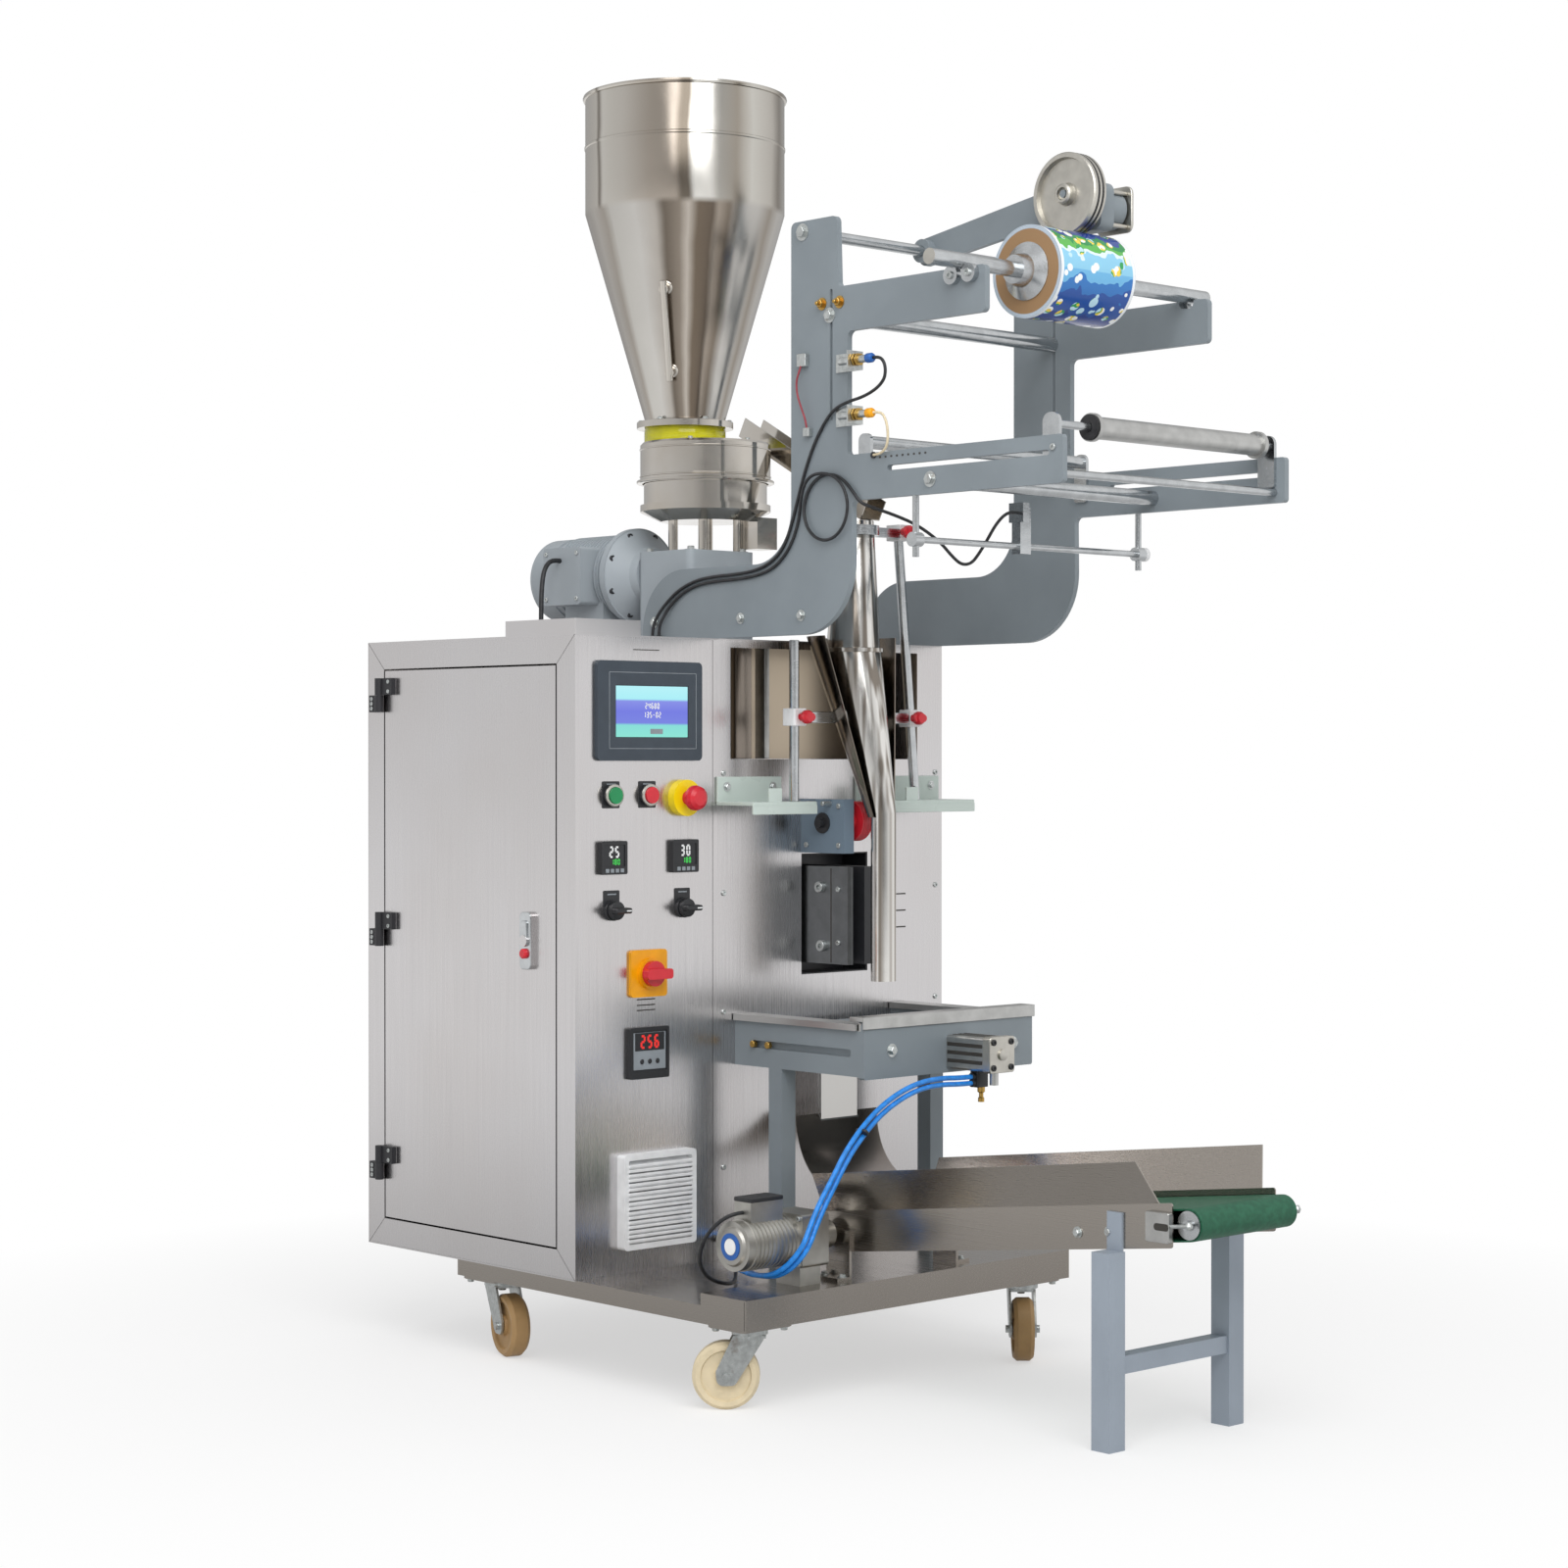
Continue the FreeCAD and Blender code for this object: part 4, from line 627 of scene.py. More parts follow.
def stack(rings, x, start=0.0, turn=2 * math.pi, count=64):
    """Circles of (y, z, radius), one over the other, as a closed wall; with turn under a full one, a part of it."""
    whole = turn > 6.28
    a = start + np.linspace(0, turn, count, endpoint=not whole)
    y, z, r = np.array(rings, float).T
    points = np.stack([x + r[:, None] * np.cos(a), y[:, None] + r[:, None] * np.sin(a),
                       np.repeat(z[:, None], count, 1)], -1)
    rows = len(rings)
    if whole:
        return points.reshape(-1, 3), grid_faces(rows, count, True)
    i, j = np.meshgrid(np.arange(rows), np.arange(count - 1), indexing="ij")
    up = (i + 1) % rows
    quads = np.stack([i * count + j, i * count + j + 1, up * count + j + 1, up * count + j], -1)
    faces = [tuple(q) for q in quads.reshape(-1, 4).tolist()]
    faces += [tuple(np.arange(rows) * count), tuple(np.arange(rows) * count + count - 1)]
    return points.reshape(-1, 3), faces


def socket_screw(base, axes, radius=4.0, height=3.0):
    """Cap screw: a low cylinder with a chamfer and a round socket sunk in it."""
    head = turned([(0, height * 0.4), (radius * 0.45, height * 0.4), (radius * 0.45, height),
                   (radius - 0.6, height), (radius, height - 0.6), (radius, 0), (0, 0)], base, axes, 18)
    return head


def hex_bolt(base, axes, radius=6.0, height=4.0):
    """Hexagon head with a chamfered top on a round washer, both on the face at base."""
    washer = turned([(0, 0), (radius * 1.5, 0), (radius * 1.5, 1.2), (0, 1.2)], base, axes, 24)
    top = np.array(base, float) + np.array(axes[2], float) * 1.2
    head = turned([(0, 0), (radius, 0), (radius, height - 0.8), (radius - 0.9, height), (0, height)], top, axes, 6)
    return washer, head


def piece(name, body, parts):
    """Joins (surface, finish) pairs into one object that rides on a body. Faces are turned outwards."""
    points, faces, kinds, names = [], [], [], []
    count = 0
    for (vertices, polygons), finish in parts:
        if finish not in names:
            names.append(finish)
        points.append(vertices)
        faces += [tuple(int(k) + count for k in p) for p in polygons]
        kinds += [names.index(finish)] * len(polygons)
        count += len(vertices)
    mesh = bpy.data.meshes.new(name)
    mesh.from_pydata((np.concatenate(points) * MM + np.array(CORNER)).tolist(), [], faces)
    for finish in names:
        mesh.materials.append(bpy.data.materials[finish])
    mesh.polygons.foreach_set("material_index", kinds)
    work = bmesh.new()
    work.from_mesh(mesh)
    bmesh.ops.remove_doubles(work, verts=work.verts, dist=0.02 * MM)
    bmesh.ops.dissolve_degenerate(work, edges=work.edges, dist=0.001 * MM)
    bmesh.ops.recalc_face_normals(work, faces=work.faces)
    work.to_mesh(mesh)
    work.free()
    mesh.polygons.foreach_set("use_smooth", [True] * len(mesh.polygons))
    mesh.set_sharp_from_angle(angle=SHARP)
    made = bpy.data.objects.new(name, mesh)
    bpy.context.scene.collection.objects.link(made)
    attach(made, body)
    return made


def same(surfaces, finish):
    return [(s, finish) for s in surfaces]


def bolts(places, axes, radius=6.0, height=4.0):
    """Washers and heads of hexagon bolts at several places."""
    return [half for p in places for half in hex_bolt(p, axes, radius, height)]


SEGMENTS = {"0": "abcdef", "1": "bc", "2": "abged", "3": "abgcd", "4": "fgbc", "5": "afgcd", "6": "afgecd",
            "7": "abc", "8": "abcdefg", "9": "abcdfg", "-": "g"}
SEGMENT_PLACE = {"a": (0, 1, 1), "b": (1, 0.5, 0), "c": (1, -0.5, 0), "d": (0, -1, 1), "e": (-1, -0.5, 0),
                 "f": (-1, 0.5, 0), "g": (0, 0, 1)}


def readout(text, centre, height, finish, stroke=0.16):
    """A row of seven-stroke figures on the front, centred, height tall: each stroke is a small flat bar."""
    made = []
    wide = height * 0.36
    step = height * 0.78
    for k, figure in enumerate(text):
        cx = centre[0] + (k - (len(text) - 1) / 2) * step
        for stroke_name in SEGMENTS.get(figure, ""):
            dx, dz, level = SEGMENT_PLACE[stroke_name]
            half = (wide * 0.42, height * stroke / 2) if level else (height * stroke / 2, height * 0.21)
            place = (cx + dx * wide / 2, centre[1], centre[2] + dz * height / 2)
            made.append((tile(place, FRONT, half, 0.35, 0.2, 0.05), finish))
    return made


class BAGGER_OT_panel_details(bpy.types.Operator):
    """Makes the screen's picture, the readouts, labels, rings, knobs and marks of the control panel"""
    bl_idname = "bagger.panel_details"
    bl_label = "Control panel"

    def execute(self, context):
        deep = -5.5
        glass = [(tile((151, deep, 1031), FRONT, (74, 40), 0.6, 1.0), "lit_screen")]
        glass += readout("24680", (151, deep - 0.6, 1040), 8.0, "white_ink", 0.2)
        glass += readout("135-02", (151, deep - 0.6, 1026), 8.0, "white_ink", 0.2)
        glass.append((tile((160, deep - 0.6, 1000), FRONT, (13, 4), 0.4, 1.0), "grey_key"))
        piece("screen_picture", "machine", glass)
        line = []
        for x in (63, 242):
            line.append((tile((x, -7, 1032.5), FRONT, (0.5, 59.5), 0.25, 0.2, 0.1), "grey_key"))
        for z in (973, 1092):
            line.append((tile((152.5, -7, z), FRONT, (89.5, 0.5), 0.25, 0.2, 0.1), "grey_key"))
        piece("screen_line", "machine", line)
        small = []
        for x, figures in ((72, "25"), (219, "30")):
            small += readout(figures, (x, -7.5, 812), 15.0, "white_ink", 0.2)
            small += readout("180", (x + 3, -7.5, 796.5), 8.0, "green_light", 0.2)
            small += same([tile((x + dx, -9, 783), FRONT, (3.4, 3.0), 0.8, 0.8) for dx in (-15, -5, 5, 15)],
                          "grey_key")
        piece("small_controller_readouts", "machine", small)
        big = [(tile((144, -7.5, 498.5), FRONT, (33, 29), 0.3, 1.0, 0.1), "grey_key"),
               (tile((144, -7.8, 513), FRONT, (30, 14), 0.3, 1.0, 0.1), "black_abs")]
        big += readout("256", (144, -8.1, 513), 18.0, "red_light", 0.2)
        big += same([rod((x, -7.8, 482), (x, -9.2, 482), 4.0) for x in (128, 144, 160)], "black_abs")
        piece("large_controller_readout", "machine", big)
        rings = []
        for x in (71, 145):
            rings.append((turned([(13.6, 0), (17.5, 0), (17.5, 2.2), (16, 3), (13.6, 3)], (x, -9, 900), FRONT),
                          "turned_aluminium"))
        piece("button_rings", "machine", rings)
        labels = same([tile((x, 0, 733), FRONT, (16, 19), 1.4, 2.0) for x in (72, 218)], "black_abs")
        labels += same([tile((x, -1.4, 917.5), FRONT, (9, 1.0), 0.3, 0.4, 0.1) for x in (71, 145)], "grey_key")
        labels += same([tile((x, -1.4, 746), FRONT, (9, 1.0), 0.3, 0.4, 0.1) for x in (72, 218)], "grey_key")
        piece("selector_labels", "machine", labels)
        for side, x in (("left", 72), ("right", 218)):
            body = side + "_selector_knob"
            knob = [(turned([(0, 0), (14, 0), (15, 2), (14.5, 8), (12, 9.5), (0, 9.5)], (x, -8.3, 721), FRONT),
                     "black_abs"),
                    (plate((x + 3, -17, 721), FRONT, (17, 5.0), 4.0, [(0, 0), (0.6, 11), (2.4, 13)]), "black_abs"),
                    (tile((x + 12, -30, 721), FRONT, (5, 1.0), 0.4, 0.5, 0.1), "white_ink")]
            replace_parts(piece(side + "_selector_lever", body, knob), body)
        marks = [tile((143, 0, z), FRONT, (19, 1.0), 0.2, 0.4, 0.05) for z in (579, 570, 562)]
        marks += [tile((709, 0, z), FRONT, (13, 1.2), 0.2, 0.4, 0.05) for z in (728, 700, 672)]
        marks.append(tile((144, 0, 1128), FRONT, (27, 0.8), 0.2, 0.4, 0.05))
        piece("engraved_marks", "machine", same(marks, "dark_mark"))
        slats = same([plate((158.5, -15.4, 204 + 7.3 * k), FRONT, (66, 2.4), 1.2,
                            [(0.8, 0), (0, 1.2), (0, 3.2), (0.8, 4.0)]) for k in range(17)], "white_abs")
        piece("vent_fins", "machine", slats)
        return {"FINISHED"}


class BAGGER_OT_hopper(bpy.types.Operator):
    """Makes the hopper with its seam, rim, foot flange and handle, and the clear yellow ring under it"""
    bl_idname = "bagger.hopper"
    bl_label = "Hopper"

    def execute(self, context):
        x, y = 372.0, 168.0
        foot, cone, wall, top = 1503.0, 1515.0, 1857.0, 2050.0
        low, wide, sheet = 66.0, 165.0, 2.0
        seam = top - 85.0
        profile = [(low, foot), (low, cone), (wide, wall)]
        profile += [(wide, seam - 3), (wide + 1.3, seam - 1.5), (wide + 1.3, seam + 1.5), (wide, seam + 3)]
        profile += [(wide, top - 7), (wide + 3, top - 6), (wide + 4, top - 3), (wide + 3, top), (wide, top),
                    (wide - sheet, top - 2), (wide - sheet, wall), (low - sheet, cone), (low - sheet, foot)]
        shell = [(turned(profile, (x, y, 0), UP, 128), "hopper_steel"),
                 (turned([(low - 1, foot), (80, foot), (80, foot + 10), (79, foot + 11), (low - 1, foot + 11)],
                         (x, y, 0), UP, 64), "polished_stainless")]
        turn = np.radians(np.arange(0, 360, 60) + 15)
        for a in turn:
            place = (x + 73.5 * math.cos(a), y + 73.5 * math.sin(a), foot + 11)
            shell += same(hex_bolt(place, UP, 4.0, 3.0), "zinc_plated_steel")
        made = piece("hopper_shell", "machine", shell)
        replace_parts(made, "hopper")
        lean = math.atan2(wide - low, wall - cone)
        angle = math.radians(214.7)
        away = np.array([math.cos(angle), math.sin(angle), 0.0])
        normal = away * math.cos(lean) - np.array([0, 0, math.sin(lean)])
        along = away * math.sin(lean) + np.array([0, 0, math.cos(lean)])

        def on_cone(z):
            return np.array([x, y, z]) + away * (low + (z - cone) * math.tan(lean))
        feet = [on_cone(z) for z in (1590.0, 1720.0)]
        grip = [rod(f - normal, f + normal * 20, 8.0) for f in feet]
        grip += [turned([(0, 0), (11, 0), (11, 1.5), (8, 3), (0, 3)], f, axes_along(normal)) for f in feet]
        grip.append(rod(feet[0] + normal * 18 - along * 14, feet[1] + normal * 18 + along * 14, 5.5))
        piece("hopper_handle", "machine", same(grip, "polished_stainless"))
        ring = turned([(low - 7, 1479.2), (low + 0.5, 1479.2), (low + 1.5, 1481), (low + 1.5, 1501),
                       (low + 0.5, 1502.8), (low - 7, 1502.8)], (x, y, 0), UP, 64)
        piece("sight_ring", "machine", [(ring, "yellow_acrylic")])
        lid = [(398 + 96 * math.cos(a), 143 + 96 * math.sin(a), 1479) for a in turn + 0.3]
        piece("filler_bolts", "machine",
              same([socket_screw(p, UP, 4.0, 4.0) for p in lid], "zinc_plated_steel"))
        bands = [turned([(108.2, 0), (109.2, 0.6), (109.2, 2.4), (108.2, 3), (106, 3), (106, 0)], (395, 143, z),
                        UP, 96) for z in (1421, 1466)]
        bands += [turned([(105, z), (wide, z), (wide + 1, z + 1), (wide + 1, z + 4), (wide, z + 5), (105, z + 5)],
                         (395, 143, 0), UP, 96) for z, wide in ((1411.6, 113),)]
        piece("drum_beads", "machine", same(bands, "polished_stainless"))
        return {"FINISHED"}


class BAGGER_OT_former(bpy.types.Operator):
    """Makes the leaning forming tube, its collar and the stand with clamps and red knobs"""
    bl_idname = "bagger.former"
    bl_label = "Former"

    def execute(self, context):
        x = 520.0
        outer = [(-150, 597, 20.5), (-150, 868, 20.5), (-80, 1130, 46), (-80, 1131, 49), (-80, 1137, 49),
                 (-80, 1138, 44), (-85, 1344, 30), (-85, 1345, 29.4)]
        inner = [(-85, 1345, 28.5), (-80, 1138, 42.5), (-150, 868, 19.0), (-150, 597, 19.0)]
        tube = stack(outer + inner, x)
        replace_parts(piece("forming_pipe", "machine", [(tube, "streaked_stainless")]),
                    "forming_tube")
        sheet = [(-149, 862, 25.0), (-88, 1156, 82.0), (-88, 1156, 80.0), (-149, 862, 23.0)]
        half = stack(sheet, x, math.radians(-6), math.radians(192))
        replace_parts(piece("forming_shoulder", "machine", [(half, "dark_rolled_stainless")]),
                    "forming_collar")
        chrome, pale = "hard_chromed_rod", "pale_green_plate"
        stand = same([rod((395, -72, 888), (395, -72, 1148), 8), rod((672, -72, 888), (630, -72, 1345), 8)], chrome)
        for x0, x1 in ((290, 430), (600, 798)):
            stand += same([block((x0, -90, 882), (x1, 0, 888), 3), block((x0, -90, 868), (x1, -86, 883), 1),
                           block((x0, -5, 887), (x1, 0, 928), 1.5), block((x0 + 36, -88, 887), (x0 + 64, -84, 910), 1)],
                          pale)
            stand += same(bolts([(x0 + dx, -5, 912) for dx in (20, x1 - x0 - 20)], FRONT, 5.0, 3.5),
                          "zinc_plated_steel")
        for a, b in ((395, 493), (547, 660)):
            stand.append((block((a, -85, 1015), (b, -76, 1033), 1), chrome))
        stand += same([block((381, -88, 1010), (409, -58, 1038), 4), block((646, -88, 1010), (674, -58, 1038), 4),
                       block((616, -92, 1318), (646, -58, 1344), 4)], "white_abs")
        clamp = turned([(31.6, 0), (39, 0), (39, 16), (30.6, 16)], (x, -85, 1321), UP, 48)
        stand += [(clamp, chrome), (block((557, -91, 1321), (620, -79, 1337), 1.5), chrome)]
        for kx, ky, kz in ((395, -88, 1024), (650, -88, 1024), (622, -92, 1331)):
            stand.append((turned([(0, 0), (5, 0), (5, 5), (9, 7), (11, 11), (11, 18), (8, 23), (0, 24)],
                                 (kx, ky, kz), FRONT), "red_abs"))
            stand.append((plate((kx, ky - 8, kz), FRONT, (15, 6.5), 6.0, [(1, 0), (0, 2), (0, 10), (1.5, 12)]), "red_abs"))
        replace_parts(piece("former_clamps", "machine", stand), "former_stand")
        return {"FINISHED"}


class BAGGER_OT_film_parts(bpy.types.Operator):
    """Makes the nuts, sensors' caps, wheel rings and motor cover of the film frame"""
    bl_idname = "bagger.film_parts"
    bl_label = "Film frame"

    def execute(self, context):
        rods = ((-203, 1775, 9), (-264, 1640, 8), (-480, 1374, 8))
        nuts = []
        for y, z, size in rods:
            nuts += bolts([(290, y, z)], LEFT, size, 6.0) + bolts([(810, y, z)], RIGHT, size, 6.0)
        nuts += [socket_screw((290, -726, 1404), LEFT, 5.0), socket_screw((810, -726, 1404), RIGHT, 5.0)]
        nuts += [socket_screw((x, -548 + dy, 1670.8), axes, 6.0, 3.5)
                 for x, axes in ((280, LEFT), (820, RIGHT)) for dy in (-18, 18)]
        nuts += bolts([(290, 150, 1180), (290, -60, 1180), (290, -200, 1180)], LEFT, 6.0, 5.0)
        piece("frame_nuts", "machine", same(nuts, "zinc_plated_steel"))
        brass = bolts([(290, -247, 1659), (290, -286, 1658)], LEFT, 6.5, 7.0)
        brass += [rod((283, y, z), (276, y, z), 3.0) for y, z in ((-247, 1659), (-286, 1658))]
        piece("clamp_bolts", "machine", same(brass, "brass"))
        marks = [tile((290, y, 1414), LEFT, (2.0, 1.5), 0.3, 0.4, 0.1) for y in range(-470, -370, 12)]
        piece("scale_marks", "machine", same(marks, "dark_mark"))
        for name, z, finish, slot in (("upper", 1563, "blue_abs", "screen_bezel"),
                                      ("lower", 1480, "yellow_abs", "yellow_plastic")):
            eye = [(turned([(0, 0), (7, 0), (7.4, 1), (7.4, 10), (5.5, 13), (0, 13)], (272, -364.5, z), FRONT), finish)]
            eye += same([turned([(6.1, 0), (10, 0), (10, 4), (6.1, 4)], (272, y, z), FRONT, 6)
                         for y in (-338, -345)], "brass")
            eye += same([socket_screw((286.8, y, z + 6), LEFT, 3.4) for y in (-318, -296)], "zinc_plated_steel")
            piece(name + "_sensor_cap", "machine", eye)
        low, high = mm_box("drive_wheel")
        wy, wz = (low[1] + high[1]) / 2, (low[2] + high[2]) / 2
        tyre = np.linspace(0, 2 * np.pi, 12, endpoint=False)
        rings = [turned([(62.2 + 2 * math.cos(t), 2 * math.sin(t)) for t in tyre], (x, wy, wz), RIGHT, 64)
                 for x in (546.5, 555.5)]
        piece("wheel_rings", "drive_wheel", same(rings, "black_rubber"))
        hub = [turned([(10, 0), (16, 0), (16, 4), (13, 6), (10, 6)], (538, wy, wz), LEFT, 32)]
        piece("wheel_hub", "drive_wheel", same(hub, "turned_aluminium"))
        my, mz = wy - 3, wz - 14
        cover = [plate((650, my, mz), RIGHT, (36, 36), 12.0, [(0.8, 0), (0, 0.8), (0, 4.2), (0.8, 5)])]
        cover += [rod((612, my + dy, mz + dz), (650, my + dy, mz + dz), 3.5) for dy in (-24, 22) for dz in (-27, 24)]
        cover += [socket_screw((655, my + dy, mz + dz), RIGHT, 5.0) for dy in (-24, 22) for dz in (-27, 24)]
        piece("wheel_motor_cover", "swing_arm", same(cover, "turned_aluminium"))
        caps = [turned([(6.6, 0), (18, 0), (19, 1), (19, 3), (6.6, 3)], (x, -712, 1440), axes)
                for x, axes in ((385, LEFT), (775, RIGHT))]
        piece("roller_caps", "front_film_roller", same(caps, "black_rubber"))
        ends = [(block((281, -218, 1565), (290, -198, 1585), 1.5), "zinc_plated_steel"),
                (block((281, -226, 1456), (290, -212, 1470), 1.5), "zinc_plated_steel"),
                (turned([(0, 0), (5, 0), (5, 3), (0, 3)], (290, -361, 1418), LEFT), "black_abs")]
        piece("wire_clips", "machine", ends)
        knob = turned([(0, 0), (9, 0), (11, 2), (11, 8), (8, 11), (0, 11)], (814.2, -445, 1286), RIGHT)
        piece("bar_knob", "machine", same([knob], "white_abs"))
        ends = [turned([(0, 0), (12, 0), (12, 0.6), (0, 0.6)], (x, -548, 1690), axes)
                for x, axes in ((218, LEFT), (845, RIGHT))]
        piece("shaft_ends", "film_reel", same(ends, "turned_aluminium"))
        return {"FINISHED"}


class BAGGER_OT_drives(bpy.types.Operator):
    """Makes the fins, bolts and covers of the gear motor and the conveyor's motor"""
    bl_idname = "bagger.drives"
    bl_label = "Drives"

    def execute(self, context):
        comb = [(66, 276)]
        for k in range(14):
            y = 276 + 9 * k
            comb += [(68.3, y), (71.5, y + 0.6), (71.5, y + 3.0), (68.3, y + 3.6)]
        comb += [(68.3, 404), (66, 404)]
        motor = [(turned(comb, (345, 0, 1262), BACK, 64), "gear_motor_paint")]
        turn = np.radians(np.arange(0, 360, 45) + 22.5)
        motor += same([socket_screw((345 + 70 * math.cos(a), 252, 1262 + 70 * math.sin(a)), FRONT, 5.5, 9.0)
                       for a in turn], "black_abs")
        motor += same([socket_screw((249, y, z), LEFT, 4.0, 2.5) for y in (301, 381) for z in (1224, 1300)],
                      "zinc_plated_steel")
        motor += same(bolts([(x, y, 1298) for x in (318, 432) for y in (92, 194)], UP, 6.0, 5.0),
                      "zinc_plated_steel")
        for x, z in ((350, 1294), (419, 1298), (346, 1223)):
            motor.append((plate((x, 250.5, z), FRONT, (12, 10), 2.0, [(0, 0), (0, 9), (1.5, 10.5)]), "cast_motor_grey"))
            motor.append((rod((x, 241, z), (x, 239.6, z), 5.0), "black_abs"))
        piece("gear_motor_details", "machine", motor)
        small = [(36, 48)]
        for k in range(11):
            a = 50 + 8 * k
            small += [(37.2, a), (38.8, a + 0.6), (38.8, a + 3.4), (37.2, a + 4)]
        small += [(37.2, 138), (36, 138)]
        body = [(turned(small, (0, -322, 238), RIGHT, 48), "cast_motor_grey"),
                (turned([(0, 0), (30, 0), (27, 4), (0, 5)], (36, -322, 238), LEFT, 48), "cast_motor_grey"),
                (turned([(13, 4.4), (20, 4.2), (20, 5.4), (13, 5.6)], (36, -322, 238), LEFT, 48), "blue_abs"),
                (turned([(0, 4.8), (12, 4.8), (12, 5.6), (0, 5.8)], (36, -322, 238), LEFT, 48), "white_ink")]
        body += same([socket_screw((140, -322 + dy, 238 + dz), LEFT, 4.0, 5.0)
                      for dy in (-34, 34) for dz in (-34, 34)], "zinc_plated_steel")
        body += same([block((54, -342, 302), (122, -302, 308), 5)], "black_abs")
        piece("conveyor_motor_details", "machine", body)
        return {"FINISHED"}


class BAGGER_OT_sealing_parts(bpy.types.Operator):
    """Makes the ledge, bolts, cylinder cap, fitting and glands round the sealing jaws"""
    bl_idname = "bagger.sealing_parts"
    bl_label = "Sealing jaws"

    def execute(self, context):
        ledge = [block((328, -297, 550), (719, -268, 557), 1.5), block((328, -299.6, 538), (719, -297, 557), 1.0)]
        piece("front_ledge", "machine", same(ledge, "drawn_aluminium"))
        steel = bolts([(392, -297, 503), (668, -297, 498)], FRONT, 7.0, 6.0)
        steel += [socket_screw((486, y, z), LEFT, 9.0, 8.0) for y, z in ((-40, 747), (-44, 651))]
        piece("frame_bolts", "machine", same(steel[:4], "zinc_plated_steel"))
        jaw = same(steel[4:] + [socket_screw((486, -80, z), LEFT, 4.5, 2.5) for z in (744, 657)], "zinc_plated_steel")
        jaw.append((tile((486, -63, 701), LEFT, (1.2, 77), 0.3, 0.4, 0.1), "dark_mark"))
        piece("jaw_screws", "vertical_sealing_jaw", jaw)
        mount = [(turned([(0, 0), (17, 0), (17, 2.5), (8, 3), (8, 12), (0, 12)], (478, -52, 852), LEFT), "black_abs")]
        mount += same([socket_screw((478, y, z), LEFT, 4.5, 3.0) for y in (-90, -14) for z in (816, 880)],
                      "zinc_plated_steel")
        mount += same([rod((478, y, 884), (458, y, 884), 4.0) for y in (-70, -34)], "zinc_plated_steel")
        piece("wheel_mount_details", "machine", mount)
        strap = [(tile((523, -44, 474), FRONT, (24, 6), 0.6, 1.0), "dark_mark")]
        strap += same([socket_screw((x, -44, 450), FRONT, 5.0, 2.0) for x in (506, 540)], "zinc_plated_steel")
        piece("strap_screws", "machine", strap)
        brass = [rod((334, y, 500), (326, y, 500), 5.5) for y in (-46, -81)]
        piece("rail_bolts", "machine", same(brass, "brass"))
        cx, cz, face = 541.5, 493.0, -389.0
        cap = [(plate((cx, face + 12, cz), FRONT, (28.5, 28.5), 5.0, [(0.6, 0), (0, 0.6), (0, 15), (1.0, 16)]),
                "turned_aluminium"),
               (turned([(0, 0), (9, 0), (9, 3), (7, 4), (0, 4)], (cx, face - 4, cz), FRONT), "turned_aluminium")]
        cap += same([socket_screw((cx + dx, face - 4, cz + dz), FRONT, 5.0, 2.5) for dx in (-20, 20)
                     for dz in (-20, 20)], "black_abs")
        cap += same([tile((cx + side * 27, -337, cz + dz), axes, (38, 3.0), 0.5, 1.0, 0.2)
                     for side, axes in ((-1, LEFT), (1, RIGHT)) for dz in (-13, 0, 13)], "dark_mark")
        cap += same([tile((cx + dx, -337, cz + 27), UP, (3.0, 38), 0.5, 1.0, 0.2) for dx in (-13, 0, 13)],
                    "dark_mark")
        piece("cylinder_cap", "machine", cap)
        fitting = [(block((529, -352, 439), (554, -334, 466.5), 3), "black_abs")]
        fitting += same([turned([(4.1, 0), (6.4, 0), (6.4, 5), (4.1, 6)], (529, -343, z), LEFT) for z in (446, 456)],
                        "black_abs")
        fitting.append((turned([(0, 0), (6, 0), (6, 8), (3.5, 10), (3.5, 16), (5, 18), (5, 24), (0, 24)],
                               (546, -343, 439), DOWN), "brass"))
        piece("air_fitting", "machine", fitting)
        glands = [turned([(0, 0), (5.6, 0), (5.6, 8), (4.4, 12), (0, 12)], (x, 0, 186), FRONT)
                  for x in (293, 309, 321)]
        glands += [turned([(0, 0), (6, 0), (6, 5), (4, 8), (0, 8)], (282, y, 1150), UP) for y in (130, 146)]
        piece("cable_glands", "machine", same(glands, "black_abs"))
        hub = [turned([(8.5, 0), (12, 0), (12, 5), (10, 7), (8.5, 7)], (508.5, -80, 855), LEFT)]
        hub += [turned([(31.6, 4.5 * k), (32.6, 4.5 * k + 0.5), (32.6, 4.5 * k + 2.2), (31.6, 4.5 * k + 2.8)],
                       (511, -80, 855), RIGHT, 64) for k in range(5)]
        piece("pull_wheel_hub", "film_pull_wheel",
              [(hub[0], "black_abs")] + same(hub[1:], "red_abs"))
        ties = [plate(place, axes_along((-0.72, 0, -0.69)), (5.5, 11), 3.0, [(0.5, 0), (0, 0.6), (0, 4.4), (0.5, 5)])
                for place in ((265, -363, 394),)]
        piece("hose_tie", "machine", same(ties, "black_abs"))
        screws = [socket_screw((x, 0, z), FRONT, 4.5, 2.5) for x in (307, 794) for z in (934, 741, 550, 300)]
        piece("front_plate_screws", "machine", same(screws, "zinc_plated_steel"))
        strip = [(block((440, 118, 957), (476, 129.5, 1146), 1), "dark_rolled_stainless"),
                 (block((452, 60, 957), (463, 84, 1146), 1), "drawn_aluminium")]
        piece("recess_bar", "machine", strip)
        return {"FINISHED"}


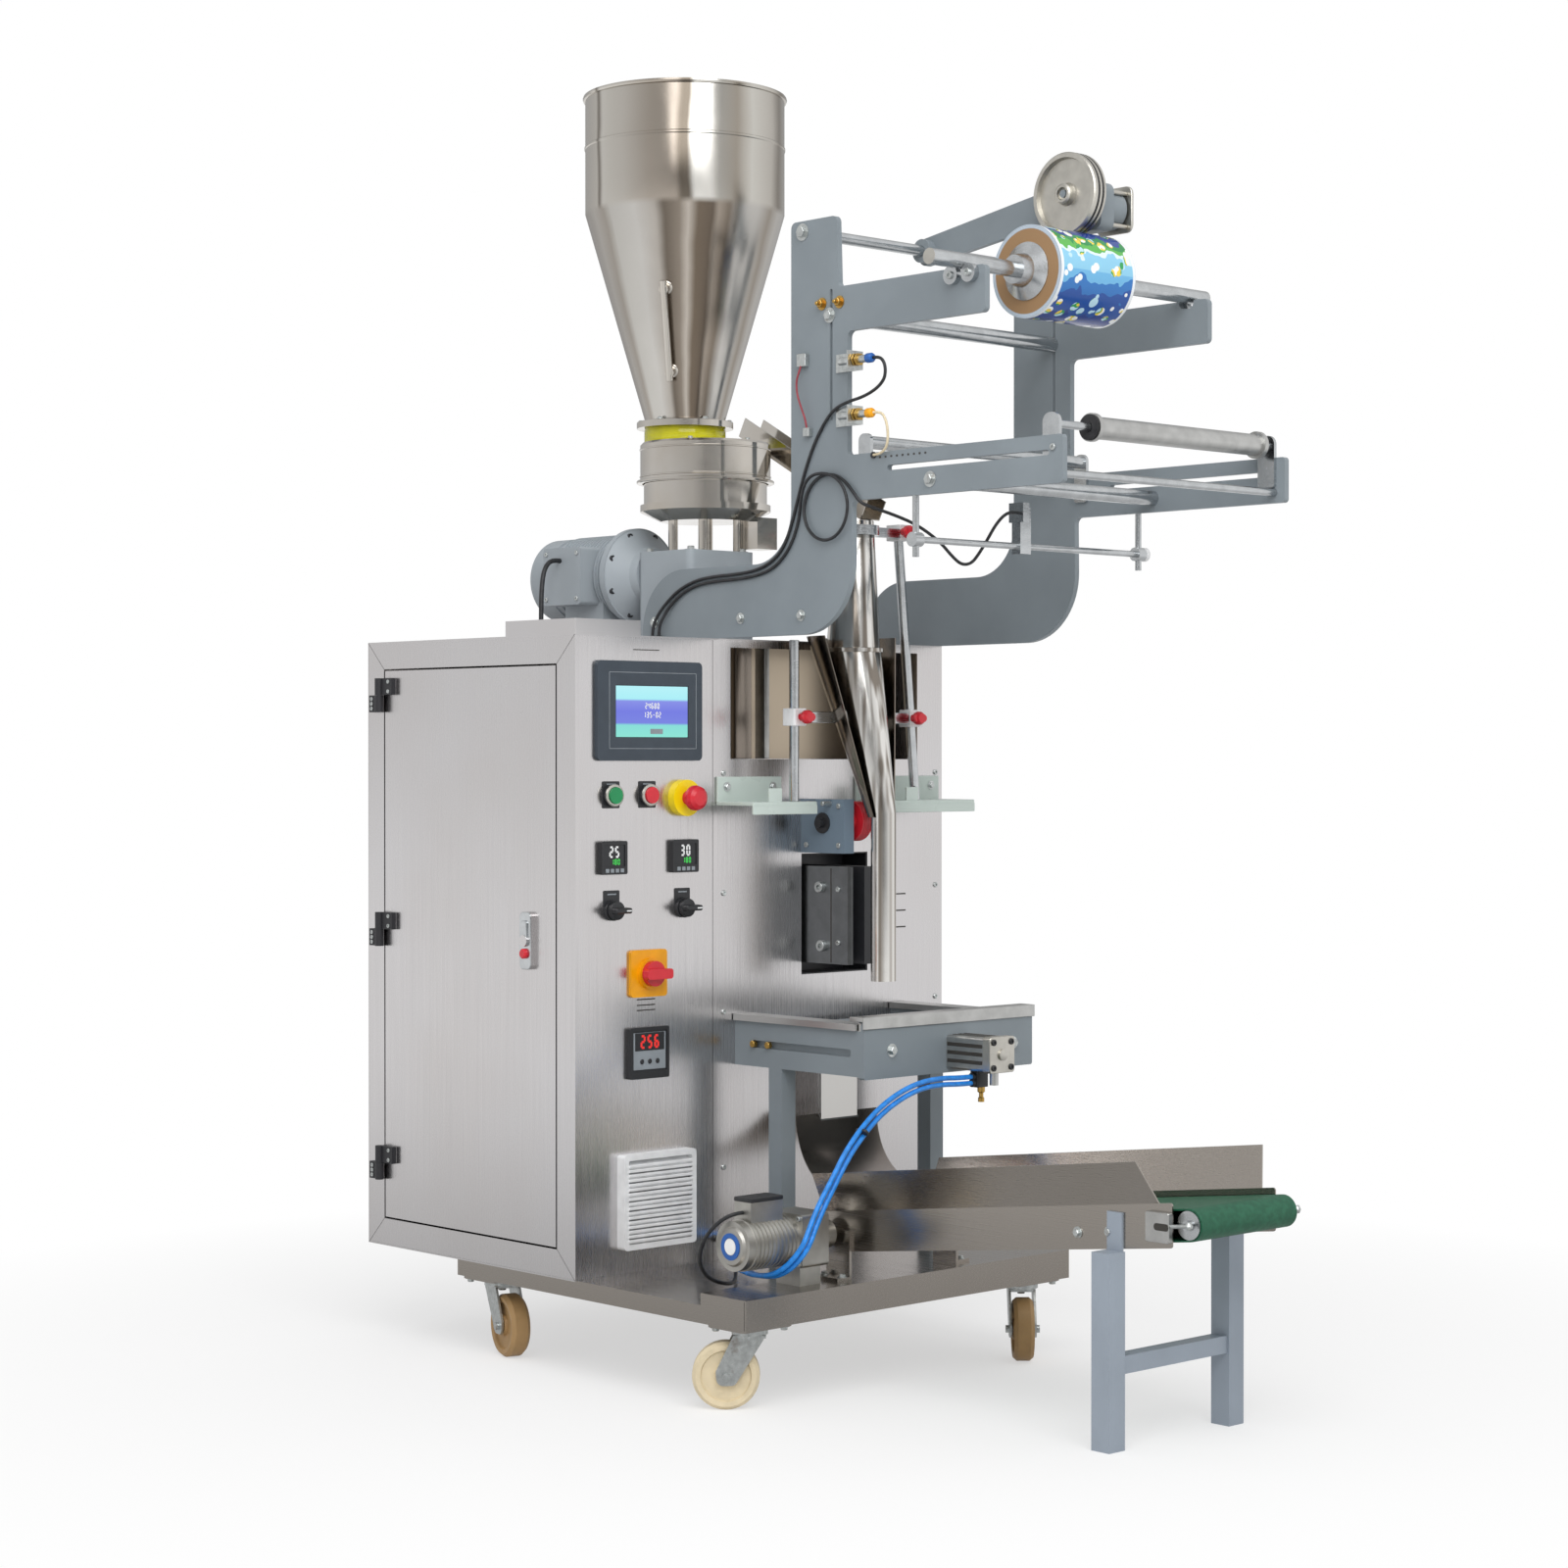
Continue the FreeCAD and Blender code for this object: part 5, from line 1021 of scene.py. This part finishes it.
class BAGGER_OT_base_parts(bpy.types.Operator):
    """Makes the castors' bolts, the door's screws and lock, and the conveyor's bolts and tension screws"""
    bl_idname = "bagger.base_parts"
    bl_label = "Base and door"

    def execute(self, context):
        plates = [(x + dx, y + dy, 121) for x in (52, 640) for y in (-342, 250) for dx in (-40, 40)
                  for dy in (-31, 31)]
        piece("castor_bolts", "machine", same(bolts(plates, DOWN, 5.5, 5.0), "zinc_plated_steel"))
        door, wall = [], []
        for z in (260, 647, 1034):
            door += [socket_screw((-9, 476, z + dz), LEFT, 3.4, 1.8) for dz in (34, 50)]
            wall += [socket_screw((-9, 522, z + dz), LEFT, 3.4, 1.8) for dz in (6, 14, 22)]
        piece("hinge_screws_door", "side_door", same(door, "zinc_plated_steel"))
        piece("hinge_screws_frame", "machine", same(wall, "zinc_plated_steel"))
        lock = [(plate((-7, 114, 672), LEFT, (14, 45), 8.0, [(0, 0), (0, 1.0), (1.0, 2.0)]), "hard_chromed_rod"),
                (turned([(0, 0), (8, 0), (8, 4), (6, 6), (0, 6)], (-9, 114, 652), LEFT), "red_abs"),
                (plate((-9, 114, 684), LEFT, (7, 20), 5.0, [(0, 0), (0, 2), (1.2, 3)]), "hard_chromed_rod")]
        piece("door_lock", "side_door", lock)
        slope = math.tan(math.radians(7.0))

        def lift(y):
            return 238.0 + (-322.0 - y) * slope
        sides = bolts([(242, y, lift(y) - 6) for y in (-817, -875)], LEFT, 5.5, 5.0)
        sides += bolts([(469, y, lift(y) - 6) for y in (-817, -875)], RIGHT, 5.5, 5.0)
        piece("conveyor_bolts", "machine", same(sides, "zinc_plated_steel"))
        head = []
        for x, axes in ((242, LEFT), (469, RIGHT)):
            centre = (x, -968, lift(-968))
            head.append((plate(centre, axes, (21, 21), 3.0, [(0.6, 0), (0, 0.8), (0, 8), (0.8, 9)]), "drawn_aluminium"))
            out = -9.2 if axes is LEFT else 9.2
            head.append((tile((x + out, -976, lift(-976)), axes, (13, 5), 0.4, 4.5, 0.1), "dark_mark"))
            mid = x + out / 2
            z = lift(-989)
            head.append((rod((mid, -989, z), (mid, -1020, z + 4), 2.8), "zinc_plated_steel"))
            head.append((turned([(0, 0), (6.5, 0), (6.5, 3), (3, 6), (0, 6)], (mid, -1020, z + 4), FRONT, 6),
                         "zinc_plated_steel"))
        piece("belt_tensioners", "machine", head)
        feet = bolts([(x, -357, 175) for x in (227, 484)] + [(x, -318, 175) for x in (227, 484)], UP, 5.0, 4.0)
        piece("conveyor_foot_bolts", "machine", same(feet, "zinc_plated_steel"))
        seam = [tile((0, y, 147), LEFT, (0.4, 21), 0.2, 0.1, 0.05) for y in (-387,)]
        d = math.sqrt(0.5)
        for y, z, rise in ((24, 174, d), (521, 1126, d), (24, 1126, -d), (521, 174, -d)):
            seam.append(tile((0, y, z), ((0, d, rise), (0, -rise, d), (-1, 0, 0)), (33, 0.35), 0.15, 0.1, 0.04))
        piece("frame_seams", "machine", same(seam, "dark_mark"))
        return {"FINISHED"}


# Each route is its curve's control points in millimetres, from the first fitting to the last.
HOSE_ONE = ((529, -343, 456), (497, -343, 456), (455, -346, 459), (403, -350, 457), (352, -354, 445),
            (303, -358, 424), (260, -363, 397), (223, -367, 365), (192, -372, 329), (159, -378, 295),
            (136, -383, 265), (121, -386, 241), (110, -378, 221), (103, -363, 204), (99, -343, 192),
            (98, -317, 187), (101, -287, 186), (109, -252, 189), (124, -213, 191), (152, -175, 190),
            (191, -144, 188), (234, -120, 187), (275, -94, 186), (299, -60, 186), (309, -34, 186),
            (309, -12, 186))
HOSE_TWO = ((529, -343, 446), (497, -343, 446), (456, -346, 449), (405, -350, 447), (356, -354, 435),
            (309, -358, 415), (267, -363, 388), (231, -367, 357), (200, -372, 322), (168, -378, 287),
            (146, -383, 259), (131, -386, 236), (120, -378, 216), (113, -363, 200), (109, -343, 189),
            (108, -317, 185), (111, -287, 184), (119, -254, 187), (133, -218, 190), (160, -183, 189),
            (197, -153, 187), (239, -129, 186), (282, -104, 186), (308, -68, 186), (321, -38, 186),
            (321, -12, 186))
UPPER_SENSOR = ((272, -377.5, 1563), (272, -391, 1563), (272, -401, 1554), (273, -403, 1540), (274, -398, 1527),
                (275, -380, 1515), (277, -350, 1506), (280, -314, 1502), (284, -280, 1494), (287, -254, 1474),
                (287, -232, 1444), (287, -212, 1405), (287, -195, 1360), (287, -179, 1316), (287, -160, 1283),
                (287, -130, 1263), (287, -92, 1253), (287, -48, 1250), (287, -2, 1249), (287, 43, 1245),
                (287, 84, 1232), (286, 112, 1214), (284, 133, 1194), (282, 146, 1173), (282, 146, 1158))
PHOTO_EYE = ((506, -455, 1337), (491, -455, 1337), (479, -451, 1330), (471, -442, 1315), (467, -429, 1293),
             (463, -414, 1271), (455, -407, 1258), (440, -401, 1256), (425, -396, 1268), (404, -389, 1291),
             (367, -378, 1315), (330, -362, 1330), (305, -347, 1339), (287, -334, 1347), (284, -322, 1364),
             (286, -303, 1381), (287, -283, 1392), (287, -260, 1396), (286, -236, 1389), (286, -217, 1370),
             (285, -210, 1344), (284, -217, 1318), (284, -236, 1299), (283, -262, 1292), (282, -288, 1299),
             (281, -307, 1318), (281, -314, 1344), (280, -307, 1370), (280, -288, 1389), (280, -262, 1397),
             (280, -234, 1396), (281, -216, 1383), (284, -205, 1361), (287, -199, 1335), (287, -188, 1304),
             (287, -168, 1276), (287, -138, 1255), (287, -97, 1245), (287, -50, 1242), (287, -3, 1241),
             (287, 42, 1237), (287, 81, 1224), (285, 109, 1203), (283, 124, 1183), (282, 130, 1171),
             (282, 130, 1158))
MOTOR_LEAD = ((56, -322, 286), (43, -322, 286), (30, -314, 281), (22, -300, 269), (18, -284, 252),
              (20, -269, 231), (27, -258, 211), (39, -251, 194), (56, -246, 180), (77, -243, 171),
              (101, -238, 165), (127, -222, 162), (155, -196, 161), (183, -166, 163), (211, -136, 167),
              (240, -106, 173), (266, -76, 180), (285, -48, 185), (293, -30, 186), (293, -12, 186))
GEAR_MOTOR_LEAD = ((249, 345, 1288), (234, 345, 1289), (220, 343, 1282), (210, 340, 1268), (204, 337, 1248),
                   (200, 334, 1225), (198, 332, 1200), (197, 331, 1175), (198, 330, 1150))
LOWER_SENSOR = ((272, -377.5, 1480), (272, -392, 1480), (273, -401, 1472), (275, -405, 1456), (278, -403, 1438),
                (281, -396, 1426), (283, -385, 1420), (286, -372, 1418), (288, -362, 1418))
RED_WIRE = ((283, -208, 1570), (281, -206, 1560), (280, -199, 1544), (281, -200, 1522), (281, -210, 1500),
            (281, -219, 1482), (283, -220, 1467))
CORDS = (
    ("lower_sensor_cable", LOWER_SENSOR, 4.0, 0.1101, "nylon_wheel", "white_plastic"),
    ("red_wire", RED_WIRE, 3.0, 0.1083, "red_cable", "red_plastic"),
    ("upper_air_hose", HOSE_ONE, 8.0, 0.9831, "blue_hose", "machine_blue_grey"),
    ("lower_air_hose", HOSE_TWO, 8.0, 0.9712, "blue_hose", "machine_blue_grey"),
    ("sensor_cable", UPPER_SENSOR, 5.0, 0.7764, "cable_pvc", "black_plastic"),
    ("photo_eye_cable", PHOTO_EYE, 5.0, 1.2418, "cable_pvc", "black_plastic"),
    ("conveyor_motor_cable", MOTOR_LEAD, 6.0, 0.518, "cable_pvc", "black_plastic"),
    ("gear_motor_cable", GEAR_MOTOR_LEAD, 8.0, 0.1671, "cable_pvc", "black_plastic"),
)


class BAGGER_OT_cords(bpy.types.Operator):
    """Makes the two air hoses and the four cables, each one smooth line between its fittings"""
    bl_idname = "bagger.cords"
    bl_label = "Hoses and cables"

    def execute(self, context):
        for name, route, diameter, length, finish, slot in CORDS:
            data = bpy.data.curves.new(name, "CURVE")
            data.dimensions = "3D"
            data.resolution_u = 12
            data.bevel_depth = diameter * MM / 2
            data.bevel_resolution = 4
            data.use_fill_caps = True
            line = data.splines.new("NURBS")
            line.points.add(len(route) - 1)
            for point, place in zip(line.points, route):
                point.co = (*at(*place), 1.0)
            line.order_u = 3
            line.use_endpoint_u = True
            data.materials.append(bpy.data.materials[finish])
            made = bpy.data.objects.new(name, data)
            bpy.context.scene.collection.objects.link(made)
            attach(made, "machine")
        return {"FINISHED"}


class BAGGER_OT_stage(bpy.types.Operator):
    """Makes the floor, the light, the room and the camera"""
    bl_idname = "bagger.stage"
    bl_label = "Stage"

    def execute(self, context):
        s = context.scene.bagger_stage
        floor_material()
        room(s)
        key_light(s)
        camera(s)
        context.scene.view_settings.view_transform = "Standard"
        return {"FINISHED"}


def floor_material():
    """A pale floor wide enough that its edge is never seen. Away from the machine it goes over into plain white."""
    size = 30.0
    mesh = bpy.data.meshes.new("floor")
    mesh.from_pydata([(-size, -size, 0), (size, -size, 0), (size, size, 0), (-size, size, 0)], [], [(0, 1, 2, 3)])
    floor = bpy.data.objects.new("floor", mesh)
    bpy.context.scene.collection.objects.link(floor)
    made, tree, shader, place = start_material("pale_floor")
    shader.inputs["Base Color"].default_value = rgba(linear("#F6F6F6"))
    shader.inputs["Roughness"].default_value = 0.9
    shader.inputs["Specular IOR Level"].default_value = 0.1
    away = add(tree, "ShaderNodeVectorMath", {1: tuple(at(380, -150, 0))}, {0: place},
               operation="DISTANCE").outputs["Value"]
    path = add(tree, "ShaderNodeLightPath").outputs
    mirror = path["Is Glossy Ray"]
    grey = spread(tree, away, 0.8, 5.0, 0.5, 1.0)
    level = add(tree, "ShaderNodeMix", {2: 1.0}, {0: mirror, 3: grey}, data_type="FLOAT").outputs[0]
    white = add(tree, "ShaderNodeEmission", {"Color": (1, 1, 1, 1)}, {"Strength": level})
    direct = add(tree, "ShaderNodeMath", links={0: path["Is Camera Ray"], 1: spread(tree, away, 0.7, 1.9, 0.55, 1.0)},
                 operation="MULTIPLY").outputs[0]
    share = add(tree, "ShaderNodeMath", links={0: direct, 1: mirror}, operation="MAXIMUM").outputs[0]
    mixed = add(tree, "ShaderNodeMixShader", links={0: share, 1: shader.outputs[0], 2: white.outputs[0]})
    tree.links.new(mixed.outputs[0], tree.nodes["Material Output"].inputs["Surface"])
    mesh.materials.append(made)


def room(s):
    """White room. Polished metal sees soft lighter and darker stretches of wall round the machine."""
    world = bpy.data.worlds.new("room")
    bpy.context.scene.world = world
    world.use_nodes = True
    tree = world.node_tree
    tree.nodes.clear()
    place = add(tree, "ShaderNodeTexCoord").outputs["Generated"]
    split = add(tree, "ShaderNodeSeparateXYZ", links={"Vector": place}).outputs
    turn = add(tree, "ShaderNodeMath", links={0: split["X"], 1: split["Y"]}, operation="ARCTAN2").outputs[0]
    walls = ramp(tree, spread(tree, turn, -math.pi, math.pi, 0.0, 1.0),
                 [(0.0, "#D8D8D8"), (0.06, "#A4A4A4"), (0.12, "#949494"), (0.18, "#C8C8C8"), (0.3, "#DCDCDC"),
                  (0.42, "#E2E2E2"), (0.52, "#C4C4C4"), (0.62, "#A0A0A0"), (0.7, "#CCCCCC"), (0.8, "#F4F4F4"),
                  (0.92, "#FBFBFB"), (1.0, "#D8D8D8")])
    path = add(tree, "ShaderNodeLightPath").outputs
    light = add(tree, "ShaderNodeBackground", {"Color": (1, 1, 1, 1), "Strength": s.world_strength})
    seen = add(tree, "ShaderNodeBackground", {"Color": (1, 1, 1, 1), "Strength": 1.0})
    mirrored = add(tree, "ShaderNodeBackground", {"Strength": 1.0}, {"Color": walls})
    first = add(tree, "ShaderNodeMixShader", links={0: path["Is Glossy Ray"], 1: light.outputs[0],
                                                    2: mirrored.outputs[0]})
    direct = add(tree, "ShaderNodeMath", links={0: path["Is Camera Ray"], 1: path["Is Transmission Ray"]},
                 operation="MAXIMUM").outputs[0]
    last = add(tree, "ShaderNodeMixShader", links={0: direct, 1: first.outputs[0], 2: seen.outputs[0]})
    add(tree, "ShaderNodeOutputWorld", links={"Surface": last.outputs[0]})


def key_light(s):
    """One large soft light, high on the left in front."""
    data = bpy.data.lights.new("key", "AREA")
    data.shape = "SQUARE"
    data.size = 3.4
    data.energy = s.key_strength
    light = bpy.data.objects.new("key", data)
    bpy.context.scene.collection.objects.link(light)
    light.location = at(-1500, -2600, 3600)
    aim = at(400, 0, 1000) - light.location
    light.rotation_euler = aim.to_track_quat("-Z", "Y").to_euler()


def camera(s):
    """The camera where the picture was taken from, worked out from the cabinet's edges."""
    data = bpy.data.cameras.new("camera")
    data.lens = s.lens
    data.sensor_width = 36.0
    data.clip_end = 100.0
    made = bpy.data.objects.new("camera", data)
    bpy.context.scene.collection.objects.link(made)
    made.location = at(-3044.0, -3735.9, 960.2)
    yaw, pitch = math.radians(-43.0), math.radians(0.5)
    made.rotation_euler = (math.pi / 2 - pitch, 0.0, yaw)
    bpy.context.scene.camera = made


class BAGGER_PT_panel(bpy.types.Panel):
    """Lists the steps in the sidebar"""
    bl_idname = "BAGGER_PT_panel"
    bl_label = "Bagging Machine"
    bl_space_type = "VIEW_3D"
    bl_region_type = "UI"
    bl_category = "Bagger"

    def draw(self, context):
        for step in STEPS:
            self.layout.operator(step.bl_idname)


STEPS = (BAGGER_OT_finishes, BAGGER_OT_panel_details, BAGGER_OT_hopper, BAGGER_OT_former, BAGGER_OT_film_parts,
         BAGGER_OT_drives, BAGGER_OT_sealing_parts, BAGGER_OT_base_parts, BAGGER_OT_cords, BAGGER_OT_stage)
CLASSES = (FinishSettings, StageSettings, *STEPS, BAGGER_PT_panel)


def register():
    for kind in CLASSES:
        bpy.utils.register_class(kind)
    bpy.types.Scene.bagger_finish = bpy.props.PointerProperty(type=FinishSettings)
    bpy.types.Scene.bagger_stage = bpy.props.PointerProperty(type=StageSettings)


def unregister():
    del bpy.types.Scene.bagger_stage
    del bpy.types.Scene.bagger_finish
    for kind in reversed(CLASSES):
        bpy.utils.unregister_class(kind)


def main():
    register()
    for step in STEPS:
        group, name = step.bl_idname.split(".")
        getattr(getattr(bpy.ops, group), name)()


if __name__ == "__main__":
    main()
